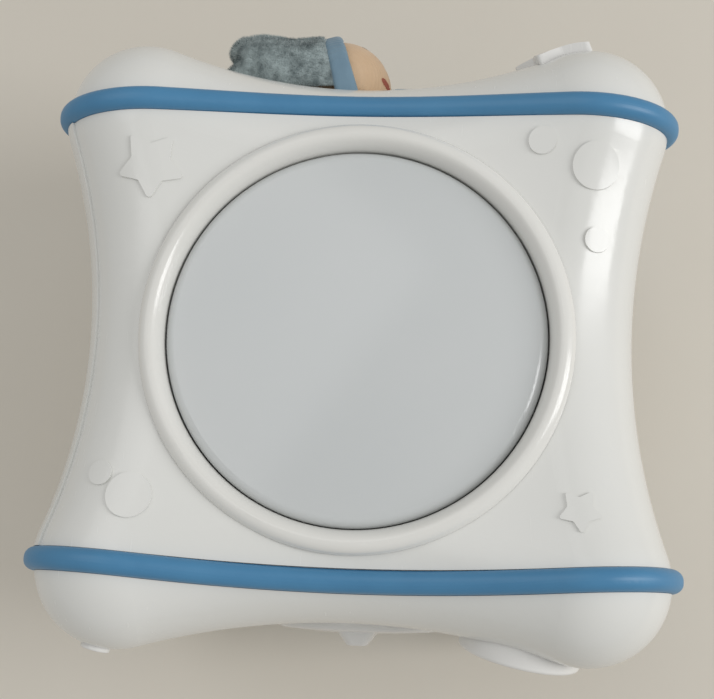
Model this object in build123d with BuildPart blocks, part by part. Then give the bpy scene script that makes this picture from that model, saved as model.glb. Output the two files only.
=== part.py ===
"""Projector cube for a nursery, in millimetres.

Every piece is modelled about the centre of the cube and written standing on the table plane:
+Z is up through the light panel, +Y points to the doll end and -Y to the control end.
"""
import os
from math import asin, cos, degrees, radians, sin, sqrt

from build123d import *

# Casing form: a cube with dished faces and swollen corner lobes
CASING = 172.0          # over the corner lobes
WAIST = 154.0           # over the narrow middle of the edges
LOBE_R = 22.8           # rounding of every edge and lobe
WALL = 2.6
PARTING_R = 1090.0      # bow of the joints between the body and the end caps
PARTING_Y = 68.1        # joint height on the cube's axis
SEAM_TURN = 34.0        # degrees above the widest line of the left edge where the body is split
BASE_PROUD = 0.8        # step from the panel shell out to the base shell along that split
LIP_T = 1.6             # inner lip of the end caps
LIP_DEEP = 4.0
FIT = 0.1               # clearance between pieces that are fixed together
RUN = 0.35              # clearance of pieces that move

# Blue trim bands
BEAD_W = 6.2
BEAD_PROUD = 2.9
BEAD_DEEP = 1.4
BEAD_ROUND = 2.8

# Light panel and its ring
PANEL_R = 52.0
PANEL_T = 2.2
PANEL_CROWN = 4.5
PANEL_EDGE = 2.6
GAP = 0.3               # dark gap between the panel and its ring
GAP_Z = 75.0
RING_R = 59.0
RING_TOP = 81.0
OPEN_R = 56.0           # opening in the panel shell
COLLAR_T = 2.5
COLLAR_Z = 60.0
FLANGE_T = 2.0

# Raised motifs on the panel face: x, y, radius, turn for the stars; x, y, radius for the discs
RELIEF = 0.7
STARS = ((-57.8, 45.2, 9.8, -91), (59.7, -45.6, 6.1, -87))
STAR_INNER = 0.56       # inner to outer radius of a star
STAR_ROUND = 0.09       # rounding of a star's points to its radius
DISCS = (
    (49.2, 53.7, 3.7),
    (63.6, 46.7, 6.3),
    (64.5, 27.4, 3.4),
    (-66.1, -39.6, 3.3),
    (-57.6, -45.3, 6.0),
)

# Light engine behind the panel
FLOOR_Z = 34.0          # upper side of the reflector's floor
FLOOR_R = 33.0
HOUSING_T = 1.8
EAR_AT = 63.0           # screws of the reflector from the axis
BARREL_R = 24.0
BARREL_T = 2.0
BARREL_END = -16.0
BARREL_FLANGE = 32.0
BARREL_SCREW_AT = 28.4
LENS_R = 20.0
LENS_Z = 22.0
LENS_T = 7.0
SLIDE_Z = 6.0
SLIDE_T = 1.2
BOARD_T = 1.6
LED_R = 4.0
LED_H = 6.0

# Screws
SCREW_R = 1.4
SCREW_HEAD_R = 2.8
SCREW_HEAD_H = 2.0
PILOT = 0.05            # play of a screw in its hole
BOSS_R = 3.6
POST_R = 4.5
POST_X = 30.0
POST_Y = 54.0
POST_Z = 30.0           # where the base posts meet the panel bosses
POST_SCREW = 16.0

# Feet
FOOT_R = 7.0
FOOT_X = 54.0
FOOT_Y = 46.0
FOOT_DROP = 1.6         # feet reach this far below the trim bands
FOOT_STEM_R = 2.6

# Control end
DIAL_R = 26.0
DIAL_EDGE = 8.4         # height of the dial's edge over the middle of the dish
DIAL_CROWN = 9.6
DIAL_ROUND = 1.5
GRIP_TOP = 13.0
GRIP_W = 15.0
GRIP_TOP_W = 6.0
GRIP_L = 42.0
GRIP_TOP_L = 34.0
SHAFT_R = 3.0
SHAFT_PLAY = 0.08
SHAFT_L = 13.0
SELECTOR_W = 18.0
SELECTOR_EAR = 34.0
SELECTOR_BOSS = 8.0
BIG_R = 17.0
BIG_AT = 47.5           # large button from the face's middle, both ways
BIG_PROUD = 4.0
BIG_ROUND = 1.0
SMALL_R = 4.0
SMALL_PROUD = 0.9
SMALL_ROUND = 0.5
SMALL_LEAN = 13.0       # degrees the small button leans away from the middle
FLANGE_LIP = 2.5
STEM_R = 2.0
SWITCH_W = 8.0
PIN_R = 1.2

# Doll end
STAR_R = 13.5
STAR_PROUD = 2.5
STAR_LEAN = 20.0        # degrees the star button leans towards the middle
STAR_TURN = 36.0        # a notch of the star points up
DOLL_REACH = 100.5      # furthest point of the doll from the cube's centre
DOLL_GAP = 0.3
DOLL_Z = 41.5           # height of the head over the cube's centre
HEAD_R = 16.0
HEAD_X = -9.5
HEM_R = 18.3
HEM_X = -4.3            # face side of the nightcap's hem
HEM_W = 5.6
HEM_ROUND = 1.6
HEM_TILT = 16.0         # degrees the hem's outer side leans back
NIGHTCAP_R = 17.0
NIGHTCAP_END = -46.0
NIGHTCAP_END_R = 12.5
BODY_ROOT_R = 12.5
BODY_SIDE_R = 75.0      # bulge of the body's sides
BODY_TIP_R = 16.5
BODY_TOP = 31.5
BODY_LOW = -52.0
BODY_SHIFT = 24.0       # the body's lower end lies this far right of its top
ANCHOR_R = 8.0          # half the pitch of the anchor's pins
ANCHOR_X = 14.0
ANCHOR_Z = -10.0

# Loudspeaker on the left side
SPEAKER_R = 25.0
SPEAKER_RIM = 2.0
SPEAKER_DEEP = 22.0
MAGNET_R = 14.0
SPEAKER_BOSS_AT = 30.5
GRILLE_R = 1.4

# Main board
BOARD_X = 84.0
BOARD_Y = 76.0
BOARD_Z = -50.0

# Battery bay on the right side
CELL_R = 7.1
CELL_L = 49.2
NUB_R = 2.7
NUB_H = 1.2
CELL_PITCH = 15.2
CELLS = 4
BAY_Y = 58.0
BAY_WALL = 2.0
BAY_DEEP = 15.2
PLATE_T = 0.5
DOOR_Y = 66.0
DOOR_Z = 82.0
DOOR_T = 2.0
LEDGE = 4.0
DOOR_SCREW_Z = 36.0
DOOR_HEAD_H = 1.1

# Derived sizes of the casing form
HALF = CASING / 2
LOBE_AT = HALF - LOBE_R
EDGE_AT = WAIST / 2 - LOBE_R
DISH_AT = (3 * LOBE_AT**2 - 2 * EDGE_AT**2) / (2 * (LOBE_AT - EDGE_AT))
CORE_R = sqrt(EDGE_AT**2 + (DISH_AT - EDGE_AT) ** 2)
DISH_R = CORE_R - LOBE_R
FACE = DISH_AT - DISH_R
BAY_Z = CELLS * CELL_PITCH + 1.0
SEAM_SHIFT = LOBE_R * (cos(radians(SEAM_TURN)) - sin(radians(SEAM_TURN))) / 2

# Standing frame: the middle of the object's box on the table plane
CENTRE_Z = HALF + BEAD_PROUD + FOOT_DROP
SMALL_REACH = LOBE_AT + (LOBE_R + SMALL_PROUD - SMALL_ROUND) * cos(radians(SMALL_LEAN))
SMALL_REACH += (SMALL_R - SMALL_ROUND) * sin(radians(SMALL_LEAN)) + SMALL_ROUND
BIG_LEAN = asin(BIG_AT * sqrt(2) / DISH_R)
BIG_Y = DISH_AT - DISH_R * cos(BIG_LEAN)
BIG_REACH = BIG_Y + (BIG_PROUD - BIG_ROUND) * cos(BIG_LEAN)
BIG_REACH += (BIG_R - BIG_ROUND) * sin(BIG_LEAN) + BIG_ROUND
CENTRE_Y = (max(BIG_REACH, SMALL_REACH, FACE + GRIP_TOP) - DOLL_REACH) / 2
STANDING = Location((0, CENTRE_Y, CENTRE_Z))

os.makedirs("parts", exist_ok=True)


def save(piece, name):
    """Stand a finished piece in the object's frame, label it and write it."""
    placed = piece.moved(STANDING)
    placed.label = name
    export_step(placed, f"parts/{name}.step")


def dish(rho):
    """Distance of a dished face from the cube's centre, rho away from the face's axis."""
    return DISH_AT - sqrt(DISH_R**2 - rho**2)


def dome_ball(edge_r, rise):
    """Radius and half angle of the ball that rises over a round edge."""
    radius = (edge_r**2 + rise**2) / (2 * rise)
    return radius, degrees(asin(edge_r / radius))


# Sharp core of the casing: six dishes cut from a block; rounding it outwards gives the casing
with BuildPart() as core:
    Box(3 * LOBE_AT, 3 * LOBE_AT, 3 * LOBE_AT)
    for out, up in (
        ((1, 0, 0), (0, 0, 1)),
        ((-1, 0, 0), (0, 0, 1)),
        ((0, 1, 0), (0, 0, 1)),
        ((0, -1, 0), (0, 0, 1)),
        ((0, 0, 1), (0, 1, 0)),
        ((0, 0, -1), (0, 1, 0)),
    ):
        with Locations(Plane(origin=Vector(*out) * DISH_AT, x_dir=out, z_dir=up)):
            Sphere(CORE_R, mode=Mode.SUBTRACT)


def casing_form(growth):
    """The casing as one solid, its skin moved outwards by growth."""
    with BuildPart() as form:
        add(core.part)
        offset(amount=LOBE_R + growth, kind=Kind.ARC)
    return form.part


def parting_ring(side, low, high, start, end):
    """Ring of the casing between two depths, from start to end across a joint."""
    with BuildPart() as ring:
        add(casing_form(high))
        add(casing_form(low), mode=Mode.SUBTRACT)
        with Locations((0, -side * (PARTING_R - PARTING_Y), 0)):
            Sphere(PARTING_R + end, mode=Mode.INTERSECT)
            Sphere(PARTING_R + start, mode=Mode.SUBTRACT)
        with BuildSketch(Plane.XZ):
            Circle((EDGE_AT + WAIST / 2) / 2 - WALL - LIP_T)
        extrude(amount=CASING, both=True, mode=Mode.SUBTRACT)
    return ring.part


def star_points(radius, turn):
    """Corners of a five-pointed star with one point at the given turn."""
    corners = []
    for i in range(10):
        reach = radius if i % 2 == 0 else radius * STAR_INNER
        corners.append((reach * cos(radians(turn + 36 * i)), reach * sin(radians(turn + 36 * i))))
    return corners


SKIN = casing_form(0)
CAVITY = casing_form(-WALL)
MID_WALL = casing_form(-WALL / 2)
SEAM = Plane(origin=(-SEAM_SHIFT, 0, -SEAM_SHIFT), z_dir=(1, 0, 1))
LEFT = Plane(origin=(0, 0, 0), x_dir=(0, 1, 0), z_dir=(-1, 0, 0))
RIGHT = Plane(origin=(0, 0, 0), x_dir=(0, 1, 0), z_dir=(1, 0, 0))

# Trim bands and the grooves that hold them
for side, name in ((-1, "control_trim"), (1, "doll_trim")):
    with BuildPart() as trim:
        add(parting_ring(side, -BEAD_DEEP, BEAD_PROUD, -BEAD_W / 2, BEAD_W / 2))
        crest = trim.edges().filter_by(lambda e: core.part.distance_to(e @ 0.5) > LOBE_R + BEAD_PROUD / 2)
        fillet(crest, BEAD_ROUND)
    save(trim.part, name)
GROOVES = [
    parting_ring(side, -BEAD_DEEP - FIT, BEAD_PROUD, -BEAD_W / 2 - FIT, BEAD_W / 2 + FIT) for side in (-1, 1)
]


def body_form(growth):
    """Body of the casing between the joints, before it is split, its skin moved outwards by growth."""
    with BuildPart() as body:
        add(casing_form(growth))
        add(CAVITY, mode=Mode.SUBTRACT)
        for side in (-1, 1):
            with Locations((0, -side * (PARTING_R - PARTING_Y), 0)):
                Sphere(PARTING_R, mode=Mode.INTERSECT)
        for groove in GROOVES:
            add(groove, mode=Mode.SUBTRACT)
    return body.part


# Raised stars and discs on the panel face
with BuildPart() as motifs:
    for x, y, radius, turn in STARS:
        with BuildSketch(Plane(origin=(x, y, EDGE_AT))):
            with BuildLine():
                Polyline(*star_points(radius, turn), close=True)
            make_face()
            fillet(vertices(), radius * STAR_ROUND)
        extrude(amount=HALF - EDGE_AT + RELIEF)
    with BuildSketch(Plane.XY.offset(EDGE_AT)):
        for x, y, radius in DISCS:
            with Locations((x, y)):
                Circle(radius)
    extrude(amount=HALF - EDGE_AT + RELIEF)
    add(casing_form(RELIEF), mode=Mode.INTERSECT)
    add(MID_WALL, mode=Mode.SUBTRACT)

# Collar, reflector bosses and screw bosses under the panel face
with BuildPart() as panel_frame:
    with BuildSketch(Plane.XY.offset(COLLAR_Z)):
        Circle(OPEN_R + COLLAR_T)
        with PolarLocations(EAR_AT, 4, start_angle=45):
            Circle(BOSS_R)
    extrude(amount=HALF - COLLAR_Z)
    with BuildSketch(Plane.XY.offset(POST_Z)):
        with GridLocations(2 * POST_X, 2 * POST_Y, 2, 2):
            Circle(POST_R)
    extrude(amount=HALF - POST_Z)
    add(MID_WALL, mode=Mode.INTERSECT)

# Ledge and walls of the battery bay
with BuildPart() as bay:
    add(casing_form(-WALL + 0.2))
    add(casing_form(-WALL - BAY_WALL), mode=Mode.SUBTRACT)
    with BuildSketch(RIGHT):
        Rectangle(DOOR_Y + 2 * LEDGE, DOOR_Z + 2 * LEDGE)
    extrude(amount=HALF, mode=Mode.INTERSECT)
    with BuildSketch(RIGHT.offset(FACE - WALL - BAY_DEEP - BAY_WALL)):
        Rectangle(BAY_Y + 2 * BAY_WALL, BAY_Z + 2 * BAY_WALL)
    extrude(amount=BAY_DEEP + BAY_WALL + 0.5)

# Opening of the battery door, as deep as the ledge
with BuildPart() as door_opening:
    with BuildSketch(RIGHT.offset(EDGE_AT)):
        Rectangle(DOOR_Y + 2 * RUN, DOOR_Z + 2 * RUN)
    extrude(amount=HALF)
    add(casing_form(-WALL + 0.2), mode=Mode.SUBTRACT)

# Panel shell: top and right side of the body
with BuildPart() as panel_shell:
    add(body_form(0))
    split(bisect_by=SEAM, keep=Keep.TOP)
    add(motifs.part)
    add(panel_frame.part)
    with BuildSketch(Plane.XY.offset(COLLAR_Z)):
        Circle(OPEN_R)
    extrude(amount=HALF, mode=Mode.SUBTRACT)
    add(door_opening.part, mode=Mode.SUBTRACT)
    add(bay.part)
    with BuildSketch(RIGHT.offset(FACE - WALL - BAY_DEEP)):
        Rectangle(BAY_Y, BAY_Z)
    extrude(amount=HALF, mode=Mode.SUBTRACT)
    with BuildSketch(Plane.XY.offset(COLLAR_Z)):
        with PolarLocations(EAR_AT, 4, start_angle=45):
            Circle(SCREW_R + PILOT)
    extrude(amount=11, mode=Mode.SUBTRACT)
    with BuildSketch(Plane.XY.offset(POST_Z)):
        with GridLocations(2 * POST_X, 2 * POST_Y, 2, 2):
            Circle(SCREW_R + PILOT)
    extrude(amount=POST_SCREW, mode=Mode.SUBTRACT)
    with BuildSketch(RIGHT.offset(EDGE_AT)):
        with Locations((0, DOOR_SCREW_Z)):
            Circle(SCREW_R + 1.0)
    extrude(amount=HALF, mode=Mode.SUBTRACT)
save(panel_shell.part, "panel_shell")

# Posts, board standoffs and loudspeaker bosses inside the base shell
SPEAKER_X = FACE - WALL - 0.5
with BuildPart() as base_frame:
    with BuildSketch(Plane.XY.offset(POST_Z)):
        with GridLocations(2 * POST_X, 2 * POST_Y, 2, 2):
            Circle(POST_R)
    extrude(amount=-HALF - POST_Z)
    with BuildSketch(Plane.XY.offset(BOARD_Z)):
        with GridLocations(BOARD_X - 12, BOARD_Y - 12, 2, 2):
            Circle(BOSS_R)
    extrude(amount=-HALF - BOARD_Z)
    with BuildSketch(LEFT.offset(SPEAKER_X - SPEAKER_RIM)):
        Circle(SPEAKER_R + 2.0)
        Circle(SPEAKER_R + FIT, mode=Mode.SUBTRACT)
        with PolarLocations(SPEAKER_BOSS_AT, 3, start_angle=90):
            Circle(BOSS_R)
    extrude(amount=HALF)
    with BuildSketch(LEFT.offset(SPEAKER_X - SPEAKER_RIM)):
        Circle(SPEAKER_R + FIT)
    extrude(amount=HALF, mode=Mode.SUBTRACT)
    add(MID_WALL, mode=Mode.INTERSECT)

# Base shell: left side and bottom of the body
with BuildPart() as base_shell:
    add(body_form(BASE_PROUD))
    split(bisect_by=SEAM, keep=Keep.BOTTOM)
    add(base_frame.part)
    with BuildSketch(Plane.XY.offset(POST_Z - 4)):
        with GridLocations(2 * POST_X, 2 * POST_Y, 2, 2):
            Circle(SCREW_HEAD_R + 0.4)
    extrude(amount=-2 * HALF, mode=Mode.SUBTRACT)
    with BuildSketch(Plane.XY.offset(POST_Z)):
        with GridLocations(2 * POST_X, 2 * POST_Y, 2, 2):
            Circle(SCREW_R + PILOT)
    extrude(amount=-5, mode=Mode.SUBTRACT)
    with BuildSketch(Plane.XY.offset(BOARD_Z)):
        with GridLocations(BOARD_X - 12, BOARD_Y - 12, 2, 2):
            Circle(SCREW_R + PILOT)
    extrude(amount=-9, mode=Mode.SUBTRACT)
    with BuildSketch(LEFT.offset(SPEAKER_X - SPEAKER_RIM)):
        with PolarLocations(SPEAKER_BOSS_AT, 3, start_angle=90):
            Circle(SCREW_R + PILOT)
    extrude(amount=4.5, mode=Mode.SUBTRACT)
    with BuildSketch(LEFT.offset(EDGE_AT)):
        Circle(GRILLE_R)
        for ring in (1, 2, 3, 4):
            with PolarLocations(ring * 4.6, 6 * ring):
                Circle(GRILLE_R)
    extrude(amount=HALF, mode=Mode.SUBTRACT)
    with BuildSketch(Plane.XY.offset(-EDGE_AT)):
        with GridLocations(2 * FOOT_X, 2 * FOOT_Y, 2, 2):
            Circle(FOOT_STEM_R + FIT)
    extrude(amount=-HALF, mode=Mode.SUBTRACT)
save(base_shell.part, "base_shell")

# Rubber feet: pads under the lobes with a stem through the shell
with BuildPart() as feet:
    with BuildSketch(Plane.XY.offset(-CENTRE_Z)):
        with GridLocations(2 * FOOT_X, 2 * FOOT_Y, 2, 2):
            Circle(FOOT_R)
    extrude(amount=HALF / 2)
    add(casing_form(BASE_PROUD + FIT), mode=Mode.SUBTRACT)
    with BuildSketch(Plane.XY.offset(-CENTRE_Z + 2)):
        with GridLocations(2 * FOOT_X, 2 * FOOT_Y, 2, 2):
            Circle(FOOT_STEM_R)
    extrude(amount=CENTRE_Z - dish(sqrt(FOOT_X**2 + FOOT_Y**2)) + WALL)
    fillet(feet.edges().group_by(Axis.Z)[0], 1.0)
save(feet.part, "feet")

# Long screws that hold the two body shells together
with BuildPart() as casing_screws:
    with BuildSketch(Plane.XY.offset(POST_Z - 4)):
        with GridLocations(2 * POST_X, 2 * POST_Y, 2, 2):
            Circle(SCREW_HEAD_R)
    extrude(amount=-SCREW_HEAD_H)
    with BuildSketch(Plane.XY.offset(POST_Z - 4)):
        with GridLocations(2 * POST_X, 2 * POST_Y, 2, 2):
            Circle(SCREW_R)
    extrude(amount=POST_SCREW)
save(casing_screws.part, "casing_screws")

# Panel ring: rounded bezel with a neck in the collar
NECK_Z = COLLAR_Z + FLANGE_T + 2.0
with BuildPart() as ring_seat:
    add(casing_form(FIT))
    with BuildSketch(Plane.XY.offset(EDGE_AT)):
        Circle(OPEN_R - FIT)
    extrude(amount=HALF, mode=Mode.SUBTRACT)
with BuildPart() as panel_ring:
    with BuildSketch(Plane.XZ):
        with BuildLine():
            crest_r = (RING_R - PANEL_R - GAP) / 2
            crest_at = RING_R - crest_r
            rise = RING_TOP - GAP_Z
            EllipticalCenterArc((crest_at, GAP_Z), crest_r, rise, 90, arc_size=90)
            CenterArc((crest_at, RING_TOP - crest_r), crest_r, 0, 90)
            Polyline(
                (RING_R, RING_TOP - crest_r),
                (RING_R, FACE),
                (OPEN_R - FIT, FACE),
                (OPEN_R - FIT, NECK_Z),
                (PANEL_R + GAP, NECK_Z),
                (PANEL_R + GAP, GAP_Z),
            )
        make_face()
    revolve(axis=Axis.Z)
    add(ring_seat.part, mode=Mode.SUBTRACT)
save(panel_ring.part, "panel_ring")

# Light panel: shallow milky dome with a skirt and a flange under the ring's neck
with BuildPart() as light_panel:
    with BuildSketch(Plane.XZ):
        with BuildLine():
            top = GAP_Z + PANEL_CROWN
            edge_r = PANEL_R - PANEL_EDGE
            ball_r, ball_turn = dome_ball(edge_r, PANEL_CROWN - PANEL_EDGE + 1.0)
            dome = CenterArc((0, top - ball_r), ball_r, 90 - ball_turn, ball_turn)
            inner_r = PANEL_R - PANEL_T
            rim_z = GAP_Z - PANEL_EDGE
            under_r, under_turn = dome_ball(inner_r, top - PANEL_T - rim_z)
            under = CenterArc((0, top - PANEL_T - under_r), under_r, 90 - under_turn, under_turn)
            Line(dome @ 1, under @ 1)
            edge = TangentArc(dome @ 0, (PANEL_R, GAP_Z - 1.6), tangent=(dome % 0) * -1)
            Polyline(
                edge @ 1,
                (PANEL_R, NECK_Z),
                (OPEN_R - FIT - 0.3, NECK_Z),
                (OPEN_R - FIT - 0.3, COLLAR_Z + FLANGE_T),
                (inner_r, COLLAR_Z + FLANGE_T),
                under @ 0,
            )
        make_face()
    revolve(axis=Axis.Z)
save(light_panel.part, "light_panel")

# Reflector housing: white cone screwed to the collar, pressing the panel's flange up
with BuildPart() as lamp_housing:
    with BuildSketch(Plane.XZ):
        with BuildLine():
            Polyline(
                (BARREL_R - BARREL_T, FLOOR_Z - HOUSING_T),
                (FLOOR_R + HOUSING_T, FLOOR_Z - HOUSING_T),
                (OPEN_R, COLLAR_Z - FLANGE_T),
                (OPEN_R + 1.0, COLLAR_Z - FLANGE_T),
                (OPEN_R + 1.0, COLLAR_Z),
                (OPEN_R - FIT - 0.3, COLLAR_Z),
                (OPEN_R - FIT - 0.3, COLLAR_Z + FLANGE_T),
                (PANEL_R - PANEL_T + 1.0, COLLAR_Z + FLANGE_T),
                (FLOOR_R, FLOOR_Z),
                (BARREL_R - BARREL_T, FLOOR_Z),
                close=True,
            )
        make_face()
    revolve(axis=Axis.Z)
    with BuildSketch(Plane.XY.offset(COLLAR_Z)):
        with PolarLocations(EAR_AT - 4.5, 4, start_angle=45):
            SlotCenterToCenter(9, 2 * BOSS_R)
        Circle(OPEN_R, mode=Mode.SUBTRACT)
    extrude(amount=-FLANGE_T)
    with BuildSketch(Plane.XY.offset(FLOOR_Z)):
        with PolarLocations(BARREL_SCREW_AT, 3):
            Circle(BOSS_R - 0.6)
    extrude(amount=5)
    with BuildSketch(Plane.XY.offset(COLLAR_Z - FLANGE_T)):
        with PolarLocations(EAR_AT, 4, start_angle=45):
            Circle(SCREW_R + PILOT)
    extrude(amount=FLANGE_T, mode=Mode.SUBTRACT)
    with BuildSketch(Plane.XY.offset(FLOOR_Z - HOUSING_T)):
        with PolarLocations(BARREL_SCREW_AT, 3):
            Circle(SCREW_R + PILOT)
    extrude(amount=HOUSING_T + 4, mode=Mode.SUBTRACT)
save(lamp_housing.part, "lamp_housing")

with BuildPart() as housing_screws:
    with BuildSketch(Plane.XY.offset(COLLAR_Z - FLANGE_T)):
        with PolarLocations(EAR_AT, 4, start_angle=45):
            Circle(SCREW_HEAD_R)
    extrude(amount=-SCREW_HEAD_H)
    with BuildSketch(Plane.XY.offset(COLLAR_Z - FLANGE_T)):
        with PolarLocations(EAR_AT, 4, start_angle=45):
            Circle(SCREW_R)
    extrude(amount=10)
save(housing_screws.part, "housing_screws")

# Lens barrel: black tube with seats for the lens and the picture slide
BARREL_IN = BARREL_R - BARREL_T
with BuildPart() as lens_barrel:
    with BuildSketch(Plane.XZ):
        with BuildLine():
            Polyline(
                (BARREL_IN, BARREL_END),
                (BARREL_R, BARREL_END),
                (BARREL_R, FLOOR_Z - HOUSING_T - 2.0),
                (BARREL_FLANGE, FLOOR_Z - HOUSING_T - 2.0),
                (BARREL_FLANGE, FLOOR_Z - HOUSING_T),
                (LENS_R, FLOOR_Z - HOUSING_T),
                (LENS_R, LENS_Z),
                (LENS_R - 2.0, LENS_Z),
                (LENS_R - 2.0, SLIDE_Z + SLIDE_T),
                (LENS_R, SLIDE_Z + SLIDE_T),
                (LENS_R, SLIDE_Z),
                (BARREL_IN, SLIDE_Z),
                close=True,
            )
        make_face()
    revolve(axis=Axis.Z)
    with BuildSketch(Plane.XY.offset(FLOOR_Z - HOUSING_T)):
        with PolarLocations(BARREL_SCREW_AT, 3):
            Circle(SCREW_R + PILOT)
    extrude(amount=-2.0, mode=Mode.SUBTRACT)
save(lens_barrel.part, "lens_barrel")

with BuildPart() as barrel_screws:
    with BuildSketch(Plane.XY.offset(FLOOR_Z - HOUSING_T - 2.0)):
        with PolarLocations(BARREL_SCREW_AT, 3):
            Circle(SCREW_HEAD_R)
    extrude(amount=-SCREW_HEAD_H)
    with BuildSketch(Plane.XY.offset(FLOOR_Z - HOUSING_T - 2.0)):
        with PolarLocations(BARREL_SCREW_AT, 3):
            Circle(SCREW_R)
    extrude(amount=7)
save(barrel_screws.part, "barrel_screws")

# Projection lens, flat side down on its seat
with BuildPart() as projection_lens:
    with BuildSketch(Plane.XZ):
        with BuildLine():
            Polyline((0, LENS_Z + LENS_T), (0, LENS_Z), (LENS_R - FIT, LENS_Z), (LENS_R - FIT, LENS_Z + 2.0))
            ball_r, ball_turn = dome_ball(LENS_R - FIT, LENS_T - 2.0)
            CenterArc((0, LENS_Z + LENS_T - ball_r), ball_r, 90 - ball_turn, ball_turn)
        make_face()
    revolve(axis=Axis.Z)
save(projection_lens.part, "projection_lens")

with BuildPart() as picture_slide:
    with BuildSketch(Plane.XY.offset(SLIDE_Z)):
        Circle(LENS_R - FIT)
    extrude(amount=SLIDE_T)
save(picture_slide.part, "picture_slide")

# Ring that holds the slide up against its seat
with BuildPart() as slide_ring:
    with BuildSketch(Plane.XY.offset(SLIDE_Z)):
        Circle(BARREL_IN - FIT)
        Circle(LENS_R - 3.0, mode=Mode.SUBTRACT)
    extrude(amount=-3.0)
save(slide_ring.part, "slide_ring")

# Lamp board with the lamp, closing the barrel
with BuildPart() as lamp_board:
    with BuildSketch(Plane.XY.offset(BARREL_END)):
        Circle(BARREL_R)
    extrude(amount=-BOARD_T)
save(lamp_board.part, "lamp_board")

with BuildPart() as lamp_led:
    with BuildSketch(Plane.XZ):
        with BuildLine():
            Polyline((0, BARREL_END + LED_H), (0, BARREL_END), (LED_R + 0.6, BARREL_END))
            Polyline((LED_R + 0.6, BARREL_END), (LED_R + 0.6, BARREL_END + 1.0), (LED_R, BARREL_END + 1.0))
            Line((LED_R, BARREL_END + 1.0), (LED_R, BARREL_END + LED_H - LED_R))
            CenterArc((0, BARREL_END + LED_H - LED_R), LED_R, 0, 90)
        make_face()
    revolve(axis=Axis.Z)
save(lamp_led.part, "lamp_led")

# Loudspeaker, its retaining ring and screws
with BuildPart() as speaker:
    with BuildSketch(LEFT.offset(SPEAKER_X)):
        Circle(SPEAKER_R)
    extrude(amount=-SPEAKER_RIM)
    with BuildSketch(LEFT.offset(SPEAKER_X - SPEAKER_RIM)):
        Circle(SPEAKER_R - 3.0)
    with BuildSketch(LEFT.offset(SPEAKER_X - SPEAKER_DEEP / 2)):
        Circle(MAGNET_R)
    loft()
    with BuildSketch(LEFT.offset(SPEAKER_X - SPEAKER_DEEP / 2)):
        Circle(MAGNET_R)
    extrude(amount=-SPEAKER_DEEP / 2)
save(speaker.part, "speaker")

with BuildPart() as speaker_ring:
    with BuildSketch(LEFT.offset(SPEAKER_X - SPEAKER_RIM)):
        Circle(SPEAKER_BOSS_AT + BOSS_R)
        Circle(SPEAKER_R - 2.6, mode=Mode.SUBTRACT)
        with PolarLocations(SPEAKER_BOSS_AT, 3, start_angle=90):
            Circle(SCREW_R + PILOT, mode=Mode.SUBTRACT)
    extrude(amount=-1.6)
save(speaker_ring.part, "speaker_ring")

with BuildPart() as speaker_screws:
    with BuildSketch(LEFT.offset(SPEAKER_X - SPEAKER_RIM - 1.6)):
        with PolarLocations(SPEAKER_BOSS_AT, 3, start_angle=90):
            Circle(SCREW_HEAD_R)
    extrude(amount=-SCREW_HEAD_H)
    with BuildSketch(LEFT.offset(SPEAKER_X - SPEAKER_RIM - 1.6)):
        with PolarLocations(SPEAKER_BOSS_AT, 3, start_angle=90):
            Circle(SCREW_R)
    extrude(amount=5.5)
save(speaker_screws.part, "speaker_screws")

# Main board on its standoffs, its parts and screws
with BuildPart() as main_board:
    with BuildSketch(Plane.XY.offset(BOARD_Z)):
        RectangleRounded(BOARD_X, BOARD_Y, 3)
        with GridLocations(BOARD_X - 12, BOARD_Y - 12, 2, 2):
            Circle(SCREW_R + PILOT, mode=Mode.SUBTRACT)
    extrude(amount=BOARD_T)
save(main_board.part, "main_board")

with BuildPart() as board_parts:
    with BuildSketch(Plane.XY.offset(BOARD_Z + BOARD_T)):
        with Locations((-BOARD_X / 6, BOARD_Y / 8)):
            Rectangle(16, 16)
        with Locations((BOARD_X / 5, -BOARD_Y / 6)):
            Rectangle(10, 6)
        with Locations((BOARD_X / 5, BOARD_Y / 4)):
            Rectangle(12, 5)
    extrude(amount=2.4)
    with BuildSketch(Plane.XY.offset(BOARD_Z + BOARD_T)):
        with Locations((-BOARD_X / 4, -BOARD_Y / 4), (-BOARD_X / 4 + 11, -BOARD_Y / 4)):
            Circle(4)
    extrude(amount=11)
save(board_parts.part, "board_parts")

with BuildPart() as board_screws:
    with BuildSketch(Plane.XY.offset(BOARD_Z + BOARD_T)):
        with GridLocations(BOARD_X - 12, BOARD_Y - 12, 2, 2):
            Circle(SCREW_HEAD_R)
    extrude(amount=SCREW_HEAD_H)
    with BuildSketch(Plane.XY.offset(BOARD_Z + BOARD_T)):
        with GridLocations(BOARD_X - 12, BOARD_Y - 12, 2, 2):
            Circle(SCREW_R)
    extrude(amount=-8.5)
save(board_screws.part, "board_screws")

# Battery door, its captive screw, the cells and their contacts
DOOR_SCREW_X = dish(DOOR_SCREW_Z) - DOOR_HEAD_H
with BuildPart() as battery_door:
    with BuildSketch(RIGHT.offset(EDGE_AT)):
        Rectangle(DOOR_Y, DOOR_Z)
    extrude(amount=HALF)
    add(SKIN, mode=Mode.INTERSECT)
    add(casing_form(-DOOR_T), mode=Mode.SUBTRACT)
    with BuildSketch(RIGHT.offset(EDGE_AT)):
        with Locations((0, DOOR_SCREW_Z)):
            Circle(SCREW_R + PILOT)
    extrude(amount=HALF, mode=Mode.SUBTRACT)
    with BuildSketch(RIGHT.offset(DOOR_SCREW_X)):
        with Locations((0, DOOR_SCREW_Z)):
            Circle(SCREW_HEAD_R + 0.2)
    extrude(amount=HALF, mode=Mode.SUBTRACT)
save(battery_door.part, "battery_door")

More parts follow.
